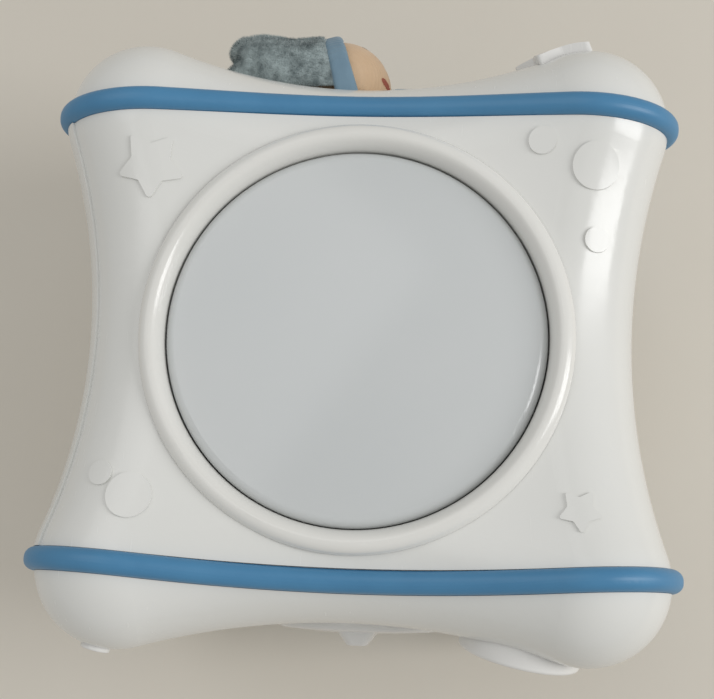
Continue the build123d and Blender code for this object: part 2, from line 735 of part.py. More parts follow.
with BuildPart() as door_screw:
    with BuildSketch(RIGHT.offset(DOOR_SCREW_X)):
        with Locations((0, DOOR_SCREW_Z)):
            Circle(SCREW_HEAD_R)
    extrude(amount=DOOR_HEAD_H)
    with BuildSketch(RIGHT.offset(DOOR_SCREW_X)):
        with Locations((0, DOOR_SCREW_Z)):
            Circle(SCREW_R)
    extrude(amount=-5.5)
save(door_screw.part, "door_screw")

CELL_X = FACE - WALL - BAY_DEEP + CELL_R + 0.2
with BuildPart() as battery_cells:
    for i in range(CELLS):
        turn = 1 if i % 2 == 0 else -1
        level = (i - (CELLS - 1) / 2) * CELL_PITCH
        start = (CELL_X, turn * (BAY_Y / 2 - PLATE_T), level)
        with BuildSketch(Plane(origin=start, z_dir=(0, -turn, 0))):
            Circle(NUB_R)
        extrude(amount=NUB_H)
        body_start = (CELL_X, turn * (BAY_Y / 2 - PLATE_T - NUB_H), level)
        with BuildSketch(Plane(origin=body_start, z_dir=(0, -turn, 0))):
            Circle(CELL_R)
        extrude(amount=CELL_L)
save(battery_cells.part, "battery_cells")

SPRING_L = BAY_Y - 2 * PLATE_T - NUB_H - CELL_L
with BuildPart() as battery_springs:
    for i in range(CELLS):
        turn = -1 if i % 2 == 0 else 1
        level = (i - (CELLS - 1) / 2) * CELL_PITCH
        seat = Plane(origin=(CELL_X, turn * (BAY_Y / 2 - PLATE_T), level), z_dir=(0, -turn, 0))
        with BuildSketch(seat):
            Circle(5.2)
        with BuildSketch(seat.offset(SPRING_L)):
            Circle(2.8)
        loft()
        with BuildSketch(seat):
            Circle(4.2)
        with BuildSketch(seat.offset(SPRING_L)):
            Circle(1.8)
        loft(mode=Mode.SUBTRACT)
save(battery_springs.part, "battery_springs")

with BuildPart() as battery_contacts:
    for turn in (-1, 1):
        with BuildSketch(Plane(origin=(CELL_X, turn * BAY_Y / 2, 0), x_dir=(1, 0, 0), z_dir=(0, -turn, 0))):
            with GridLocations(CELL_PITCH, CELL_PITCH, 1, CELLS):
                Rectangle(12, 12)
        extrude(amount=PLATE_T)
save(battery_contacts.part, "battery_contacts")

# Places of the controls: every plane faces outwards with its origin on the casing's skin
DIAL = Plane(origin=(0, -FACE, 0), x_dir=(1, 0, 0), z_dir=(0, -1, 0))
BIG = Plane(
    origin=(BIG_AT, -BIG_Y, BIG_AT),
    x_dir=(1, 0, -1),
    z_dir=(-BIG_AT, BIG_Y - DISH_AT, -BIG_AT),
)
SMALL_OUT = Vector(-sin(radians(SMALL_LEAN)), -cos(radians(SMALL_LEAN)), 0)
SMALL = Plane(
    origin=Vector(-LOBE_AT, -LOBE_AT, LOBE_AT) + SMALL_OUT * LOBE_R,
    x_dir=(0, 0, -1),
    z_dir=SMALL_OUT,
)
STAR_OUT = Vector(-sin(radians(STAR_LEAN)), cos(radians(STAR_LEAN)), 0)
STAR = Plane(
    origin=Vector(LOBE_AT, LOBE_AT, LOBE_AT) + STAR_OUT * LOBE_R,
    x_dir=(0, 0, 1),
    z_dir=STAR_OUT,
)

# Depths of each button under the skin: flange top, switch top, post radius
BIG_DEPTHS = (WALL + 3.6, 10.5, BIG_R + 5.0)
SMALL_DEPTHS = (WALL + 1.7, 7.5, SMALL_R + 5.5)
STAR_DEPTHS = (WALL + 6.2, 12.4, STAR_R + 2.8)
FLANGE_H = 1.4
SWITCH_H = 4.0
STEM_IN = 1.6           # stem inside its switch at rest


def add_posts(seat, depths):
    """Posts with pins that carry a switch board, grown from the cap into the casing."""
    top, switch_top, reach = depths
    with BuildPart() as posts:
        with BuildSketch(seat.offset(-switch_top - SWITCH_H)):
            with PolarLocations(reach, 3, start_angle=180):
                Circle(2.4)
        extrude(amount=2 * switch_top)
        with BuildSketch(seat.offset(-switch_top - SWITCH_H)):
            with PolarLocations(reach, 3, start_angle=180):
                Circle(PIN_R)
        extrude(amount=-BOARD_T - 0.8)
        add(MID_WALL, mode=Mode.INTERSECT)
    return posts.part


def cap_shell(side):
    """End cap: the casing beyond a joint, with an inner lip that reaches into the body."""
    with BuildPart() as cap:
        add(SKIN)
        add(CAVITY, mode=Mode.SUBTRACT)
        with Locations((0, -side * (PARTING_R - PARTING_Y), 0)):
            Sphere(PARTING_R, mode=Mode.SUBTRACT)
        with BuildSketch(Plane.XZ):
            Rectangle(2 * CASING, 2 * CASING)
        extrude(amount=side * CASING, mode=Mode.SUBTRACT)
        add(parting_ring(side, -WALL - LIP_T, -WALL + 0.2, BEAD_W / 2 + 0.6, BEAD_W / 2 + 2.4))
        add(parting_ring(side, -WALL - LIP_T, -WALL - FIT, -LIP_DEEP, BEAD_W / 2 + 1.5))
        for groove in GROOVES:
            add(groove, mode=Mode.SUBTRACT)
    return cap.part


# Control cap: holes for the dial's shaft and two buttons, posts for their switches
with BuildPart() as control_cap:
    add(cap_shell(-1))
    with BuildSketch(DIAL.offset(-SELECTOR_BOSS)):
        with GridLocations(SELECTOR_EAR - 8, 1, 2, 1):
            Circle(BOSS_R)
    extrude(amount=SELECTOR_BOSS - WALL / 2)
    add(add_posts(BIG, BIG_DEPTHS))
    add(add_posts(SMALL, SMALL_DEPTHS))
    with BuildSketch(DIAL.offset(-SELECTOR_BOSS)):
        with GridLocations(SELECTOR_EAR - 8, 1, 2, 1):
            Circle(SCREW_R + PILOT)
    extrude(amount=SELECTOR_BOSS - WALL, mode=Mode.SUBTRACT)
    with BuildSketch(DIAL.offset(-WALL - 1)):
        Circle(SHAFT_R + SHAFT_PLAY)
    extrude(amount=WALL + 2, mode=Mode.SUBTRACT)
    with BuildSketch(BIG.offset(-WALL - 3)):
        Circle(BIG_R + RUN)
    extrude(amount=WALL + 8, mode=Mode.SUBTRACT)
    with BuildSketch(SMALL.offset(-WALL - 3)):
        Circle(SMALL_R + RUN)
    extrude(amount=WALL + 8, mode=Mode.SUBTRACT)
save(control_cap.part, "control_cap")

# Doll cap: star hole for its button and two holes for the doll's anchor
with BuildPart() as doll_cap:
    add(cap_shell(1))
    add(add_posts(STAR, STAR_DEPTHS))
    with BuildSketch(STAR.offset(-STAR_DEPTHS[0] + 0.3)):
        with BuildLine():
            Polyline(*star_points(STAR_R, STAR_TURN), close=True)
        make_face()
        fillet(vertices(), STAR_R * STAR_ROUND)
        offset(amount=RUN)
    extrude(amount=STAR_DEPTHS[0] + 8, mode=Mode.SUBTRACT)
    with BuildSketch(Plane(origin=(0, EDGE_AT, 0), x_dir=(1, 0, 0), z_dir=(0, 1, 0))):
        with Locations((ANCHOR_X - ANCHOR_R, -ANCHOR_Z), (ANCHOR_X + ANCHOR_R, -ANCHOR_Z)):
            Circle(PIN_R + FIT)
    extrude(amount=HALF, mode=Mode.SUBTRACT)
save(doll_cap.part, "doll_cap")

# Dial: domed disc that follows the dish, with a tapered grip and a shaft
with BuildPart() as dial:
    with BuildSketch(Plane(origin=(0, -FACE, 0), x_dir=(1, 0, 0), z_dir=(0, 0, 1))):
        with BuildLine():
            ball_r, ball_turn = dome_ball(DIAL_R - DIAL_ROUND, DIAL_CROWN - DIAL_EDGE)
            dome = CenterArc((0, ball_r - DIAL_CROWN), ball_r, -90, ball_turn)
            edge = TangentArc(dome @ 1, (DIAL_R, DIAL_ROUND - DIAL_EDGE), tangent=dome % 1)
            Polyline(edge @ 1, (DIAL_R, 4), (0, 4), dome @ 0)
        make_face()
    revolve(axis=Axis((0, 0, 0), (0, 1, 0)))
    with BuildSketch(DIAL.offset(DIAL_EDGE - 2)):
        RectangleRounded(GRIP_W, GRIP_L, 3)
    with BuildSketch(DIAL.offset(GRIP_TOP)):
        RectangleRounded(GRIP_TOP_W, GRIP_TOP_L, 2)
    loft()
    fillet(dial.edges().group_by(Axis.Y)[0], 1.2)
    add(casing_form(RUN), mode=Mode.SUBTRACT)
    with BuildSketch(DIAL.offset(2)):
        Circle(SHAFT_R)
    extrude(amount=-2 - SHAFT_L)
save(dial.part, "dial")

# Selector switch behind the dial, screwed to the cap by its ears
with BuildPart() as selector_switch:
    with BuildSketch(DIAL.offset(-WALL - 1.0)):
        Rectangle(SELECTOR_W, SELECTOR_W)
    extrude(amount=-SHAFT_L)
    with BuildSketch(DIAL.offset(-SELECTOR_BOSS)):
        SlotOverall(SELECTOR_EAR, 2 * BOSS_R)
    extrude(amount=-BOARD_T)
    with BuildSketch(DIAL.offset(-SELECTOR_BOSS)):
        with GridLocations(SELECTOR_EAR - 8, 1, 2, 1):
            Circle(SCREW_R + PILOT)
    extrude(amount=-BOARD_T, mode=Mode.SUBTRACT)
    with BuildSketch(DIAL.offset(-WALL - 1.0)):
        Circle(SHAFT_R + SHAFT_PLAY)
    extrude(amount=-SHAFT_L + WALL, mode=Mode.SUBTRACT)
save(selector_switch.part, "selector_switch")

with BuildPart() as selector_screws:
    with BuildSketch(DIAL.offset(-SELECTOR_BOSS - BOARD_T)):
        with GridLocations(SELECTOR_EAR - 8, 1, 2, 1):
            Circle(SCREW_HEAD_R)
    extrude(amount=-SCREW_HEAD_H)
    with BuildSketch(DIAL.offset(-SELECTOR_BOSS - BOARD_T)):
        with GridLocations(SELECTOR_EAR - 8, 1, 2, 1):
            Circle(SCREW_R)
    extrude(amount=BOARD_T + SELECTOR_BOSS - WALL - 0.5)
save(selector_screws.part, "selector_screws")


def add_stem(seat, depths, flange_r):
    """Retaining flange of a button and the stem that works its switch."""
    top, switch_top, reach = depths
    with BuildPart() as stem:
        with BuildSketch(seat.offset(-top)):
            Circle(flange_r)
        extrude(amount=-FLANGE_H)
        with BuildSketch(seat.offset(-top)):
            Circle(STEM_R)
        extrude(amount=top - switch_top - STEM_IN)
    return stem.part


# Large round button
with BuildPart() as big_button:
    with BuildSketch(BIG.offset(-BIG_DEPTHS[0])):
        Circle(BIG_R)
    extrude(amount=BIG_DEPTHS[0] + BIG_PROUD)
    fillet(big_button.edges().sort_by(Axis(BIG.origin, BIG.z_dir))[-1], BIG_ROUND)
    add(add_stem(BIG, BIG_DEPTHS, BIG_R + FLANGE_LIP))
save(big_button.part, "big_button")

# Small round button on the left lobe
with BuildPart() as small_button:
    with BuildSketch(SMALL.offset(-SMALL_DEPTHS[0])):
        Circle(SMALL_R)
    extrude(amount=SMALL_DEPTHS[0] + SMALL_PROUD)
    fillet(small_button.edges().sort_by(Axis(SMALL.origin, SMALL.z_dir))[-1], SMALL_ROUND)
    add(add_stem(SMALL, SMALL_DEPTHS, SMALL_R + FLANGE_LIP / 2))
save(small_button.part, "small_button")

# Star button, its top follows the lobe
with BuildPart() as star_button:
    with BuildSketch(STAR.offset(-STAR_DEPTHS[0])):
        with BuildLine():
            Polyline(*star_points(STAR_R, STAR_TURN), close=True)
        make_face()
        fillet(vertices(), STAR_R * STAR_ROUND)
    extrude(amount=STAR_DEPTHS[0] + 8)
    add(casing_form(STAR_PROUD), mode=Mode.INTERSECT)
    add(add_stem(STAR, STAR_DEPTHS, STAR_R + 0.2))
save(star_button.part, "star_button")

# Switch and board under each button
for seat, depths, name in (
    (BIG, BIG_DEPTHS, "big"),
    (SMALL, SMALL_DEPTHS, "small"),
    (STAR, STAR_DEPTHS, "star"),
):
    top, switch_top, reach = depths
    with BuildPart() as switch:
        with BuildSketch(seat.offset(-switch_top)):
            Rectangle(SWITCH_W, SWITCH_W)
        extrude(amount=-SWITCH_H)
        with BuildSketch(seat.offset(-switch_top)):
            Circle(STEM_R + RUN)
        extrude(amount=-SWITCH_H + 0.5, mode=Mode.SUBTRACT)
    save(switch.part, name + "_switch")
    with BuildPart() as board:
        with BuildSketch(seat.offset(-switch_top - SWITCH_H)):
            Circle(SWITCH_W)
            with PolarLocations(reach / 2, 3, start_angle=180):
                SlotOverall(reach + 5, 6)
            with PolarLocations(reach, 3, start_angle=180):
                Circle(PIN_R + 0.05, mode=Mode.SUBTRACT)
        extrude(amount=-BOARD_T)
    save(board.part, name + "_board")


def bulge_centre(apart, root_far, tip_far):
    """Middle of a bulging side: how far up from the root ball and how far back from the axis."""
    up = (apart**2 + root_far**2 - tip_far**2) / (2 * apart)
    return up, sqrt(root_far**2 - up**2)


def stuffed(root, tip, root_r, bulge_r, tip_r):
    """Padded limb: two balls joined by a bulging side that runs smoothly into both."""
    axis = Vector(*tip) - Vector(*root)
    length = axis.length
    along = axis.normalized()
    side = along.cross(Vector(0, 1, 0)).normalized()
    apart = length - root_r - tip_r
    root_far = bulge_r - root_r
    tip_far = bulge_r - tip_r
    up, back = bulge_centre(apart, root_far, tip_far)
    low = -degrees(asin(up / root_far))
    high = degrees(asin((apart - up) / tip_far))
    with BuildPart() as limb:
        with BuildSketch(Plane(origin=root, x_dir=side, z_dir=side.cross(along))):
            with BuildLine():
                CenterArc((0, root_r), root_r, -90, 90 + low)
                CenterArc((-back, root_r + up), bulge_r, low, high - low)
                CenterArc((0, length - tip_r), tip_r, high, 90 - high)
                Line((0, length), (0, 0))
            make_face()
        revolve(axis=Axis(root, along))
    return limb.part


# Plush doll asleep on the doll end: head to the left, body down to the right
DOLL_Y = DOLL_REACH - HEM_R
DOLL_SKIN = casing_form(DOLL_GAP)
BODY_X = HEAD_X + 9.5
HIP_X = BODY_X + BODY_SHIFT
HEM_OUT = Vector(-cos(radians(HEM_TILT)), -sin(radians(HEM_TILT)), 0)
with BuildPart() as head_ball:
    with Locations(Plane(origin=(HEAD_X, DOLL_Y, DOLL_Z), x_dir=(0, 0, 1), z_dir=HEM_OUT)):
        Sphere(HEAD_R)

with BuildPart() as doll_head:
    add(head_ball.part)
    add(DOLL_SKIN, mode=Mode.SUBTRACT)
save(doll_head.part, "doll_head")

with BuildPart() as doll_hem:
    with BuildSketch(Plane(origin=(HEM_X, DOLL_Y, DOLL_Z), x_dir=(0, 0, 1), z_dir=HEM_OUT)):
        Circle(HEM_R)
    extrude(amount=HEM_W)
    fillet(doll_hem.edges().filter_by(GeomType.CIRCLE), HEM_ROUND)
    add(head_ball.part, mode=Mode.SUBTRACT)
    add(DOLL_SKIN, mode=Mode.SUBTRACT)
save(doll_hem.part, "doll_hem")

# Nightcap: begins at the back of its hem
with BuildPart() as doll_nightcap:
    tail = (NIGHTCAP_END, DOLL_Y + 3, DOLL_Z + 2)
    add(stuffed((HEAD_X + 14.5, DOLL_Y, DOLL_Z), tail, NIGHTCAP_R, 90, NIGHTCAP_END_R))
    hem_back = Vector(HEM_X, DOLL_Y, DOLL_Z) + HEM_OUT * HEM_W
    split(bisect_by=Plane(origin=hem_back, x_dir=(0, 0, 1), z_dir=HEM_OUT), keep=Keep.TOP)
    add(DOLL_SKIN, mode=Mode.SUBTRACT)
    add(head_ball.part, mode=Mode.SUBTRACT)
save(doll_nightcap.part, "doll_nightcap")

# Anchor: plate inside the cap with two pins through it into the doll's body
with BuildPart() as doll_anchor:
    with BuildSketch(Plane(origin=(ANCHOR_X, FACE - WALL, ANCHOR_Z), x_dir=(1, 0, 0), z_dir=(0, 1, 0))):
        SlotCenterToCenter(2 * ANCHOR_R, 8)
    extrude(amount=2.0, both=True)
    add(casing_form(-WALL - FIT), mode=Mode.INTERSECT)
    with BuildSketch(Plane(origin=(ANCHOR_X, FACE - WALL - 1, ANCHOR_Z), x_dir=(1, 0, 0), z_dir=(0, 1, 0))):
        with GridLocations(2 * ANCHOR_R, 1, 2, 1):
            Circle(PIN_R)
    extrude(amount=12)
save(doll_anchor.part, "doll_anchor")

# Body: its belly is the furthest point of the doll
body_l = sqrt(BODY_SHIFT**2 + (BODY_TOP - BODY_LOW) ** 2)
body_apart = body_l - BODY_ROOT_R - BODY_TIP_R
side_back = bulge_centre(body_apart, BODY_SIDE_R - BODY_ROOT_R, BODY_SIDE_R - BODY_TIP_R)[1]
BODY_Y = DOLL_REACH - BODY_SIDE_R + side_back
NECK = (BODY_X, BODY_Y, BODY_TOP)
HIP = (HIP_X, BODY_Y, BODY_LOW)
with BuildPart() as doll_body:
    add(stuffed(NECK, HIP, BODY_ROOT_R, BODY_SIDE_R, BODY_TIP_R))
    add(DOLL_SKIN, mode=Mode.SUBTRACT)
    add(head_ball.part, mode=Mode.SUBTRACT)
    add(doll_hem.part, mode=Mode.SUBTRACT)
    with BuildSketch(Plane(origin=(ANCHOR_X, EDGE_AT, ANCHOR_Z), x_dir=(1, 0, 0), z_dir=(0, 1, 0))):
        with GridLocations(2 * ANCHOR_R, 1, 2, 1):
            Circle(PIN_R + FIT)
    extrude(amount=FACE - WALL + 11 - EDGE_AT + FIT, mode=Mode.SUBTRACT)
save(doll_body.part, "doll_body")

# Limbs: root, tip, root radius, bulge radius and tip radius of each
LIMBS = {
    "doll_left_arm": ((BODY_X + 3, DOLL_Y + 4, 12), (BODY_X - 23, DOLL_Y + 1, -14), 6.5, 60, 7.5),
    "doll_right_arm": ((BODY_X + 15, DOLL_Y + 4, 10), (BODY_X + 49, DOLL_Y + 1, 4), 6.5, 60, 7.5),
    "doll_left_leg": ((HIP_X - 8, DOLL_Y, -30), (HIP_X - 28, DOLL_Y + 1, -68), 8.5, 70, 9.0),
    "doll_right_leg": ((HIP_X + 4, DOLL_Y, -32), (HIP_X + 24, DOLL_Y + 1, -68), 8.5, 70, 9.0),
}
for name, form in LIMBS.items():
    with BuildPart() as limb:
        add(stuffed(*form))
        add(DOLL_SKIN, mode=Mode.SUBTRACT)
        add(head_ball.part, mode=Mode.SUBTRACT)
        add(doll_hem.part, mode=Mode.SUBTRACT)
        add(doll_body.part, mode=Mode.SUBTRACT)
    save(limb.part, name)
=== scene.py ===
# Child's projector cube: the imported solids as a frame, dressed in their real finishes.
import math

import bmesh
import bpy
import numpy as np
from mathutils import Matrix, Vector, noise
from mathutils.bvhtree import BVHTree


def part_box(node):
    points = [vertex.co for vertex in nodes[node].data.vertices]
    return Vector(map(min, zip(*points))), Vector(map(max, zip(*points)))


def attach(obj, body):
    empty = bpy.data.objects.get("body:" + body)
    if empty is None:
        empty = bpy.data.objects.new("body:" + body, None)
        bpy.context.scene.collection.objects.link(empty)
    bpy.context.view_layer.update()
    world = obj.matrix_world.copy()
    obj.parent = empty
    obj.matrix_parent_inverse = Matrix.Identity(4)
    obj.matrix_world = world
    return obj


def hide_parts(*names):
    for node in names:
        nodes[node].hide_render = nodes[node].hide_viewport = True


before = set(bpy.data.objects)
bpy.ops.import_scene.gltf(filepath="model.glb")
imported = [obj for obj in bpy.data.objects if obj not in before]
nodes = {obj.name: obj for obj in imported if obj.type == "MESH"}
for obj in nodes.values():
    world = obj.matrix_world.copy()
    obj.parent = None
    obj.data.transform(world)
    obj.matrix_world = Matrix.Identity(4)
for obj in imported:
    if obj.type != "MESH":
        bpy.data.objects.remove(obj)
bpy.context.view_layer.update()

# Casing: an upper and a lower shell and two end caps, moulded in white ABS against a polished tool.
# Screws from below draw the shells together, and the caps clip over their open ends.
MM = 0.001
CASING_PIECES = ("base_shell", "panel_shell", "control_cap", "doll_cap", "battery_door")
ABS_WHITE = "#E9E9E6"
ABS_SHADED = "#E2E2DE"
ABS_IOR = 1.53
MIX_A, MIX_B, MIX_OUT = 6, 7, 2  # sockets of a Mix node that mixes colours


def linear(hex_colour):
    """A colour written as sRGB hex, as the linear values that a shader takes."""
    parts = [int(hex_colour[i:i + 2], 16) / 255 for i in (1, 3, 5)]
    return (*[p / 12.92 if p <= 0.04045 else ((p + 0.055) / 1.055) ** 2.4 for p in parts], 1.0)


def feed(tree, node, inputs):
    """Set a node's inputs, each to a value or to the socket that drives it."""
    for key, value in inputs.items():
        if isinstance(value, bpy.types.NodeSocket):
            tree.links.new(value, node.inputs[key])
        else:
            node.inputs[key].default_value = value


def add(tree, kind, inputs, **settings):
    """Add one node with its settings, values and links."""
    node = tree.nodes.new(kind)
    for name, value in settings.items():
        setattr(node, name, value)
    feed(tree, node, inputs)
    return node


def new_material(name):
    """An empty material: its tree, its shader, and the place on the piece in metres."""
    material = bpy.data.materials.new(name)
    material.use_nodes = True
    tree = material.node_tree
    where = add(tree, "ShaderNodeTexCoord", {}).outputs["Object"]
    return material, tree, tree.nodes["Principled BSDF"], where


def moulded_abs(name, light, dark, rough):
    """Gloss ABS: faint flow shading in the colour, a trace of orange peel, hairline scuffs in the gloss."""
    material, tree, shader, where = new_material(name)
    flow = add(tree, "ShaderNodeTexNoise", {"Vector": where, "Scale": 1 / (45 * MM), "Detail": 3.0})
    tint = add(
        tree, "ShaderNodeMix",
        {"Factor": flow.outputs["Fac"], MIX_A: linear(dark), MIX_B: linear(light)},
        data_type="RGBA",
    )
    along = add(tree, "ShaderNodeMapping", {"Vector": where, "Scale": (1.0, 0.06, 0.4)})
    hair = add(
        tree, "ShaderNodeTexNoise",
        {"Vector": along.outputs[0], "Scale": 1 / (0.9 * MM), "Detail": 2.0},
    )
    scuff = add(
        tree, "ShaderNodeMapRange",
        {"Value": hair.outputs["Fac"], "From Min": 0.62, "From Max": 0.78, "To Min": 0.0, "To Max": 0.10},
    )
    gloss = add(
        tree, "ShaderNodeMapRange",
        {"Value": flow.outputs["Fac"], "From Min": 0.3, "From Max": 0.7,
         "To Min": rough - 0.03, "To Max": rough + 0.03},
    )
    both = add(tree, "ShaderNodeMath", {0: gloss.outputs[0], 1: scuff.outputs[0]}, operation="ADD")
    peel = add(tree, "ShaderNodeTexNoise", {"Vector": where, "Scale": 1 / (2.2 * MM), "Detail": 1.0})
    skin = add(
        tree, "ShaderNodeBump",
        {"Height": peel.outputs["Fac"], "Strength": 1.0, "Distance": 0.006 * MM},
    )
    feed(tree, shader, {
        "Base Color": tint.outputs[MIX_OUT], "Roughness": both.outputs[0],
        "IOR": ABS_IOR, "Normal": skin.outputs[0],
    })
    return material


def dress(material, names):
    """Give CAD nodes a material in place of the plain one they came with."""
    for name in names:
        mesh = nodes[name].data
        mesh.materials.clear()
        mesh.materials.append(material)


dress(moulded_abs("gloss_white_abs", ABS_WHITE, ABS_SHADED, 0.2), CASING_PIECES)

# Edge bands: a soft rubber bead, overmoulded in the joint between each end cap and the shells.
# It keeps the edges quiet and grips in the hand, so its skin is satin and slightly grained.
BAND_BLUE = "#4F8CB6"
BAND_DEEP = "#437EA8"


def soft_rubber(name, light, dark, rough, grain_mm):
    """Satin rubber: fine spark-eroded grain, with a slight bloom that greys the colour in patches."""
    material, tree, shader, where = new_material(name)
    bloom = add(tree, "ShaderNodeTexNoise", {"Vector": where, "Scale": 1 / (14 * MM), "Detail": 4.0})
    tint = add(
        tree, "ShaderNodeMix",
        {"Factor": bloom.outputs["Fac"], MIX_A: linear(dark), MIX_B: linear(light)},
        data_type="RGBA",
    )
    grain = add(tree, "ShaderNodeTexNoise", {"Vector": where, "Scale": 1 / (grain_mm * MM), "Detail": 2.0})
    rub = add(
        tree, "ShaderNodeMapRange",
        {"Value": bloom.outputs["Fac"], "From Min": 0.3, "From Max": 0.7,
         "To Min": rough - 0.06, "To Max": rough + 0.06},
    )
    skin = add(
        tree, "ShaderNodeBump",
        {"Height": grain.outputs["Fac"], "Strength": 1.0, "Distance": 0.02 * MM},
    )
    feed(tree, shader, {
        "Base Color": tint.outputs[MIX_OUT], "Roughness": rub.outputs[0],
        "IOR": 1.5, "Normal": skin.outputs[0],
    })
    return material


dress(soft_rubber("satin_blue_rubber", BAND_BLUE, BAND_DEEP, 0.42, 0.5), ("control_trim", "doll_trim"))
dress(soft_rubber("matt_foot_rubber", "#C9C9C6", "#BDBDBA", 0.7, 0.6), ("feet",))

# Panel ring: the round moulded frame that clips into the upper shell and holds the panel down.
# It is white ABS like the casing, with a slightly better polish.
dress(moulded_abs("polished_white_abs", "#ECEBE7", "#E5E4DF", 0.17), ("panel_ring",))

# Light panel: a crowned disc of milky polycarbonate that the picture is thrown on from inside.
# Its outer face is polished, and light sinks into it a little before it scatters back.
PANEL_MILK = "#D5D7D7"
PANEL_COOL = "#CDD1D2"
panel_milk, tree, shader, where = new_material("milky_polycarbonate")
cloud = add(tree, "ShaderNodeTexNoise", {"Vector": where, "Scale": 1 / (60 * MM), "Detail": 2.0})
milk = add(
    tree, "ShaderNodeMix",
    {"Factor": cloud.outputs["Fac"], MIX_A: linear(PANEL_COOL), MIX_B: linear(PANEL_MILK)},
    data_type="RGBA",
)
speck = add(tree, "ShaderNodeTexNoise", {"Vector": where, "Scale": 1 / (1.5 * MM), "Detail": 2.0})
ripple = add(
    tree, "ShaderNodeBump",
    {"Height": speck.outputs["Fac"], "Strength": 1.0, "Distance": 0.003 * MM},
)
polish = add(
    tree, "ShaderNodeMapRange",
    {"Value": cloud.outputs["Fac"], "From Min": 0.3, "From Max": 0.7, "To Min": 0.14, "To Max": 0.2},
)
feed(tree, shader, {
    "Base Color": milk.outputs[MIX_OUT], "Roughness": polish.outputs[0], "IOR": 1.58,
    "Subsurface Weight": 0.25, "Subsurface Radius": (1.0, 1.0, 1.0), "Subsurface Scale": 2.0 * MM,
    "Normal": ripple.outputs[0],
})
dress(panel_milk, ("light_panel",))

# Controls: a turning dial, a large and a small push button and a star button, moulded in white ABS.
# The dial turns on its selector switch, and each button rests on the spring of its own switch.
CONTROLS = ("dial", "big_button", "small_button", "star_button")
dress(moulded_abs("control_white_abs", "#EBEAE8", "#E4E3E0", 0.22), CONTROLS)

# Light engine behind the panel: a white reflector housing, a black barrel with a lens, a film slide
# in its ring and a lamp on a small board. It is closed in, and shows only when the casing is open.
dress(moulded_abs("reflector_white_abs", "#F4F3F0", "#EEEDE9", 0.4), ("lamp_housing",))
BLACK_PIECES = (
    "lens_barrel", "slide_ring", "selector_switch", "big_switch", "small_switch", "star_switch",
    "board_parts", "speaker_ring",
)
dress(moulded_abs("black_moulded_plastic", "#232324", "#1B1B1C", 0.45), BLACK_PIECES)

lens_clear, tree, shader, where = new_material("clear_acrylic")
haze = add(tree, "ShaderNodeTexNoise", {"Vector": where, "Scale": 1 / (6 * MM), "Detail": 2.0})
haze_rough = add(
    tree, "ShaderNodeMapRange",
    {"Value": haze.outputs["Fac"], "From Min": 0.3, "From Max": 0.7, "To Min": 0.02, "To Max": 0.06},
)
feed(tree, shader, {
    "Base Color": linear("#F6F8F8"), "Roughness": haze_rough.outputs[0], "IOR": 1.49,
    "Transmission Weight": 1.0,
})
dress(lens_clear, ("projection_lens", "lamp_led"))

# Slide: a disc of printed film, clamped in its ring between the lamp and the lens.
# Its print is small clear dots on dark blue.
DOT_SPACING = 2.4 * MM
film, tree, shader, where = new_material("printed_film")
dots = add(tree, "ShaderNodeTexVoronoi", {"Vector": where, "Scale": 1 / DOT_SPACING}, feature="F1")
edge = add(
    tree, "ShaderNodeMapRange",
    {"Value": dots.outputs["Distance"], "From Min": 0.16, "From Max": 0.2, "To Min": 0.0, "To Max": 1.0},
)
sky = add(
    tree, "ShaderNodeMix",
    {"Factor": edge.outputs[0], MIX_A: linear("#E8EEF4"), MIX_B: linear("#1F3558")},
    data_type="RGBA",
)
feed(tree, shader, {"Base Color": sky.outputs[MIX_OUT], "Roughness": 0.15, "IOR": 1.6})
dress(film, ("picture_slide",))

# Circuit boards: glass-fibre sheet, screwed to bosses inside the casing or held under its switches.
# Green solder mask lies over copper tracks, which show as paler lines.
TRACK_PITCH = 3.0 * MM
board, tree, shader, where = new_material("solder_mask_board")
tracks = add(
    tree, "ShaderNodeTexBrick",
    {"Vector": where, "Scale": 1 / TRACK_PITCH, "Color1": linear("#1E6B3F"), "Color2": linear("#1A6238"),
     "Mortar": linear("#3B8A58"), "Mortar Size": 0.05},
)
feed(tree, shader, {"Base Color": tracks.outputs["Color"], "Roughness": 0.35, "IOR": 1.5})
dress(board, ("main_board", "lamp_board", "big_board", "small_board", "star_board"))

# Screws, battery contacts and the loudspeaker's frame: steel with a bright zinc or nickel plate.
# The screws are cold-headed and the rest is stamped, so the plate is mottled and slightly dulled.


def plated_steel(name, light, dark, rough):
    """Plated steel: mottled in tone and gloss, as it leaves the plating bath."""
    material, tree, shader, where = new_material(name)
    bath = add(tree, "ShaderNodeTexNoise", {"Vector": where, "Scale": 1 / (1.8 * MM), "Detail": 3.0})
    tint = add(
        tree, "ShaderNodeMix",
        {"Factor": bath.outputs["Fac"], MIX_A: linear(dark), MIX_B: linear(light)},
        data_type="RGBA",
    )
    dull = add(
        tree, "ShaderNodeMapRange",
        {"Value": bath.outputs["Fac"], "From Min": 0.3, "From Max": 0.7,
         "To Min": rough, "To Max": rough + 0.12},
    )
    feed(tree, shader, {"Base Color": tint.outputs[MIX_OUT], "Metallic": 1.0, "Roughness": dull.outputs[0]})
    return material


SCREWS = (
    "barrel_screws", "board_screws", "casing_screws", "door_screw", "housing_screws", "selector_screws",
    "speaker_screws",
)
dress(plated_steel("zinc_plated_steel", "#C3C4C6", "#A9ABAE", 0.28), SCREWS)
NICKEL = plated_steel("nickel_plated_steel", "#CFCBC2", "#B7B2A8", 0.2)
dress(NICKEL, ("battery_contacts",))
dress(plated_steel("speaker_frame_steel", "#8E9092", "#76787B", 0.4), ("speaker",))

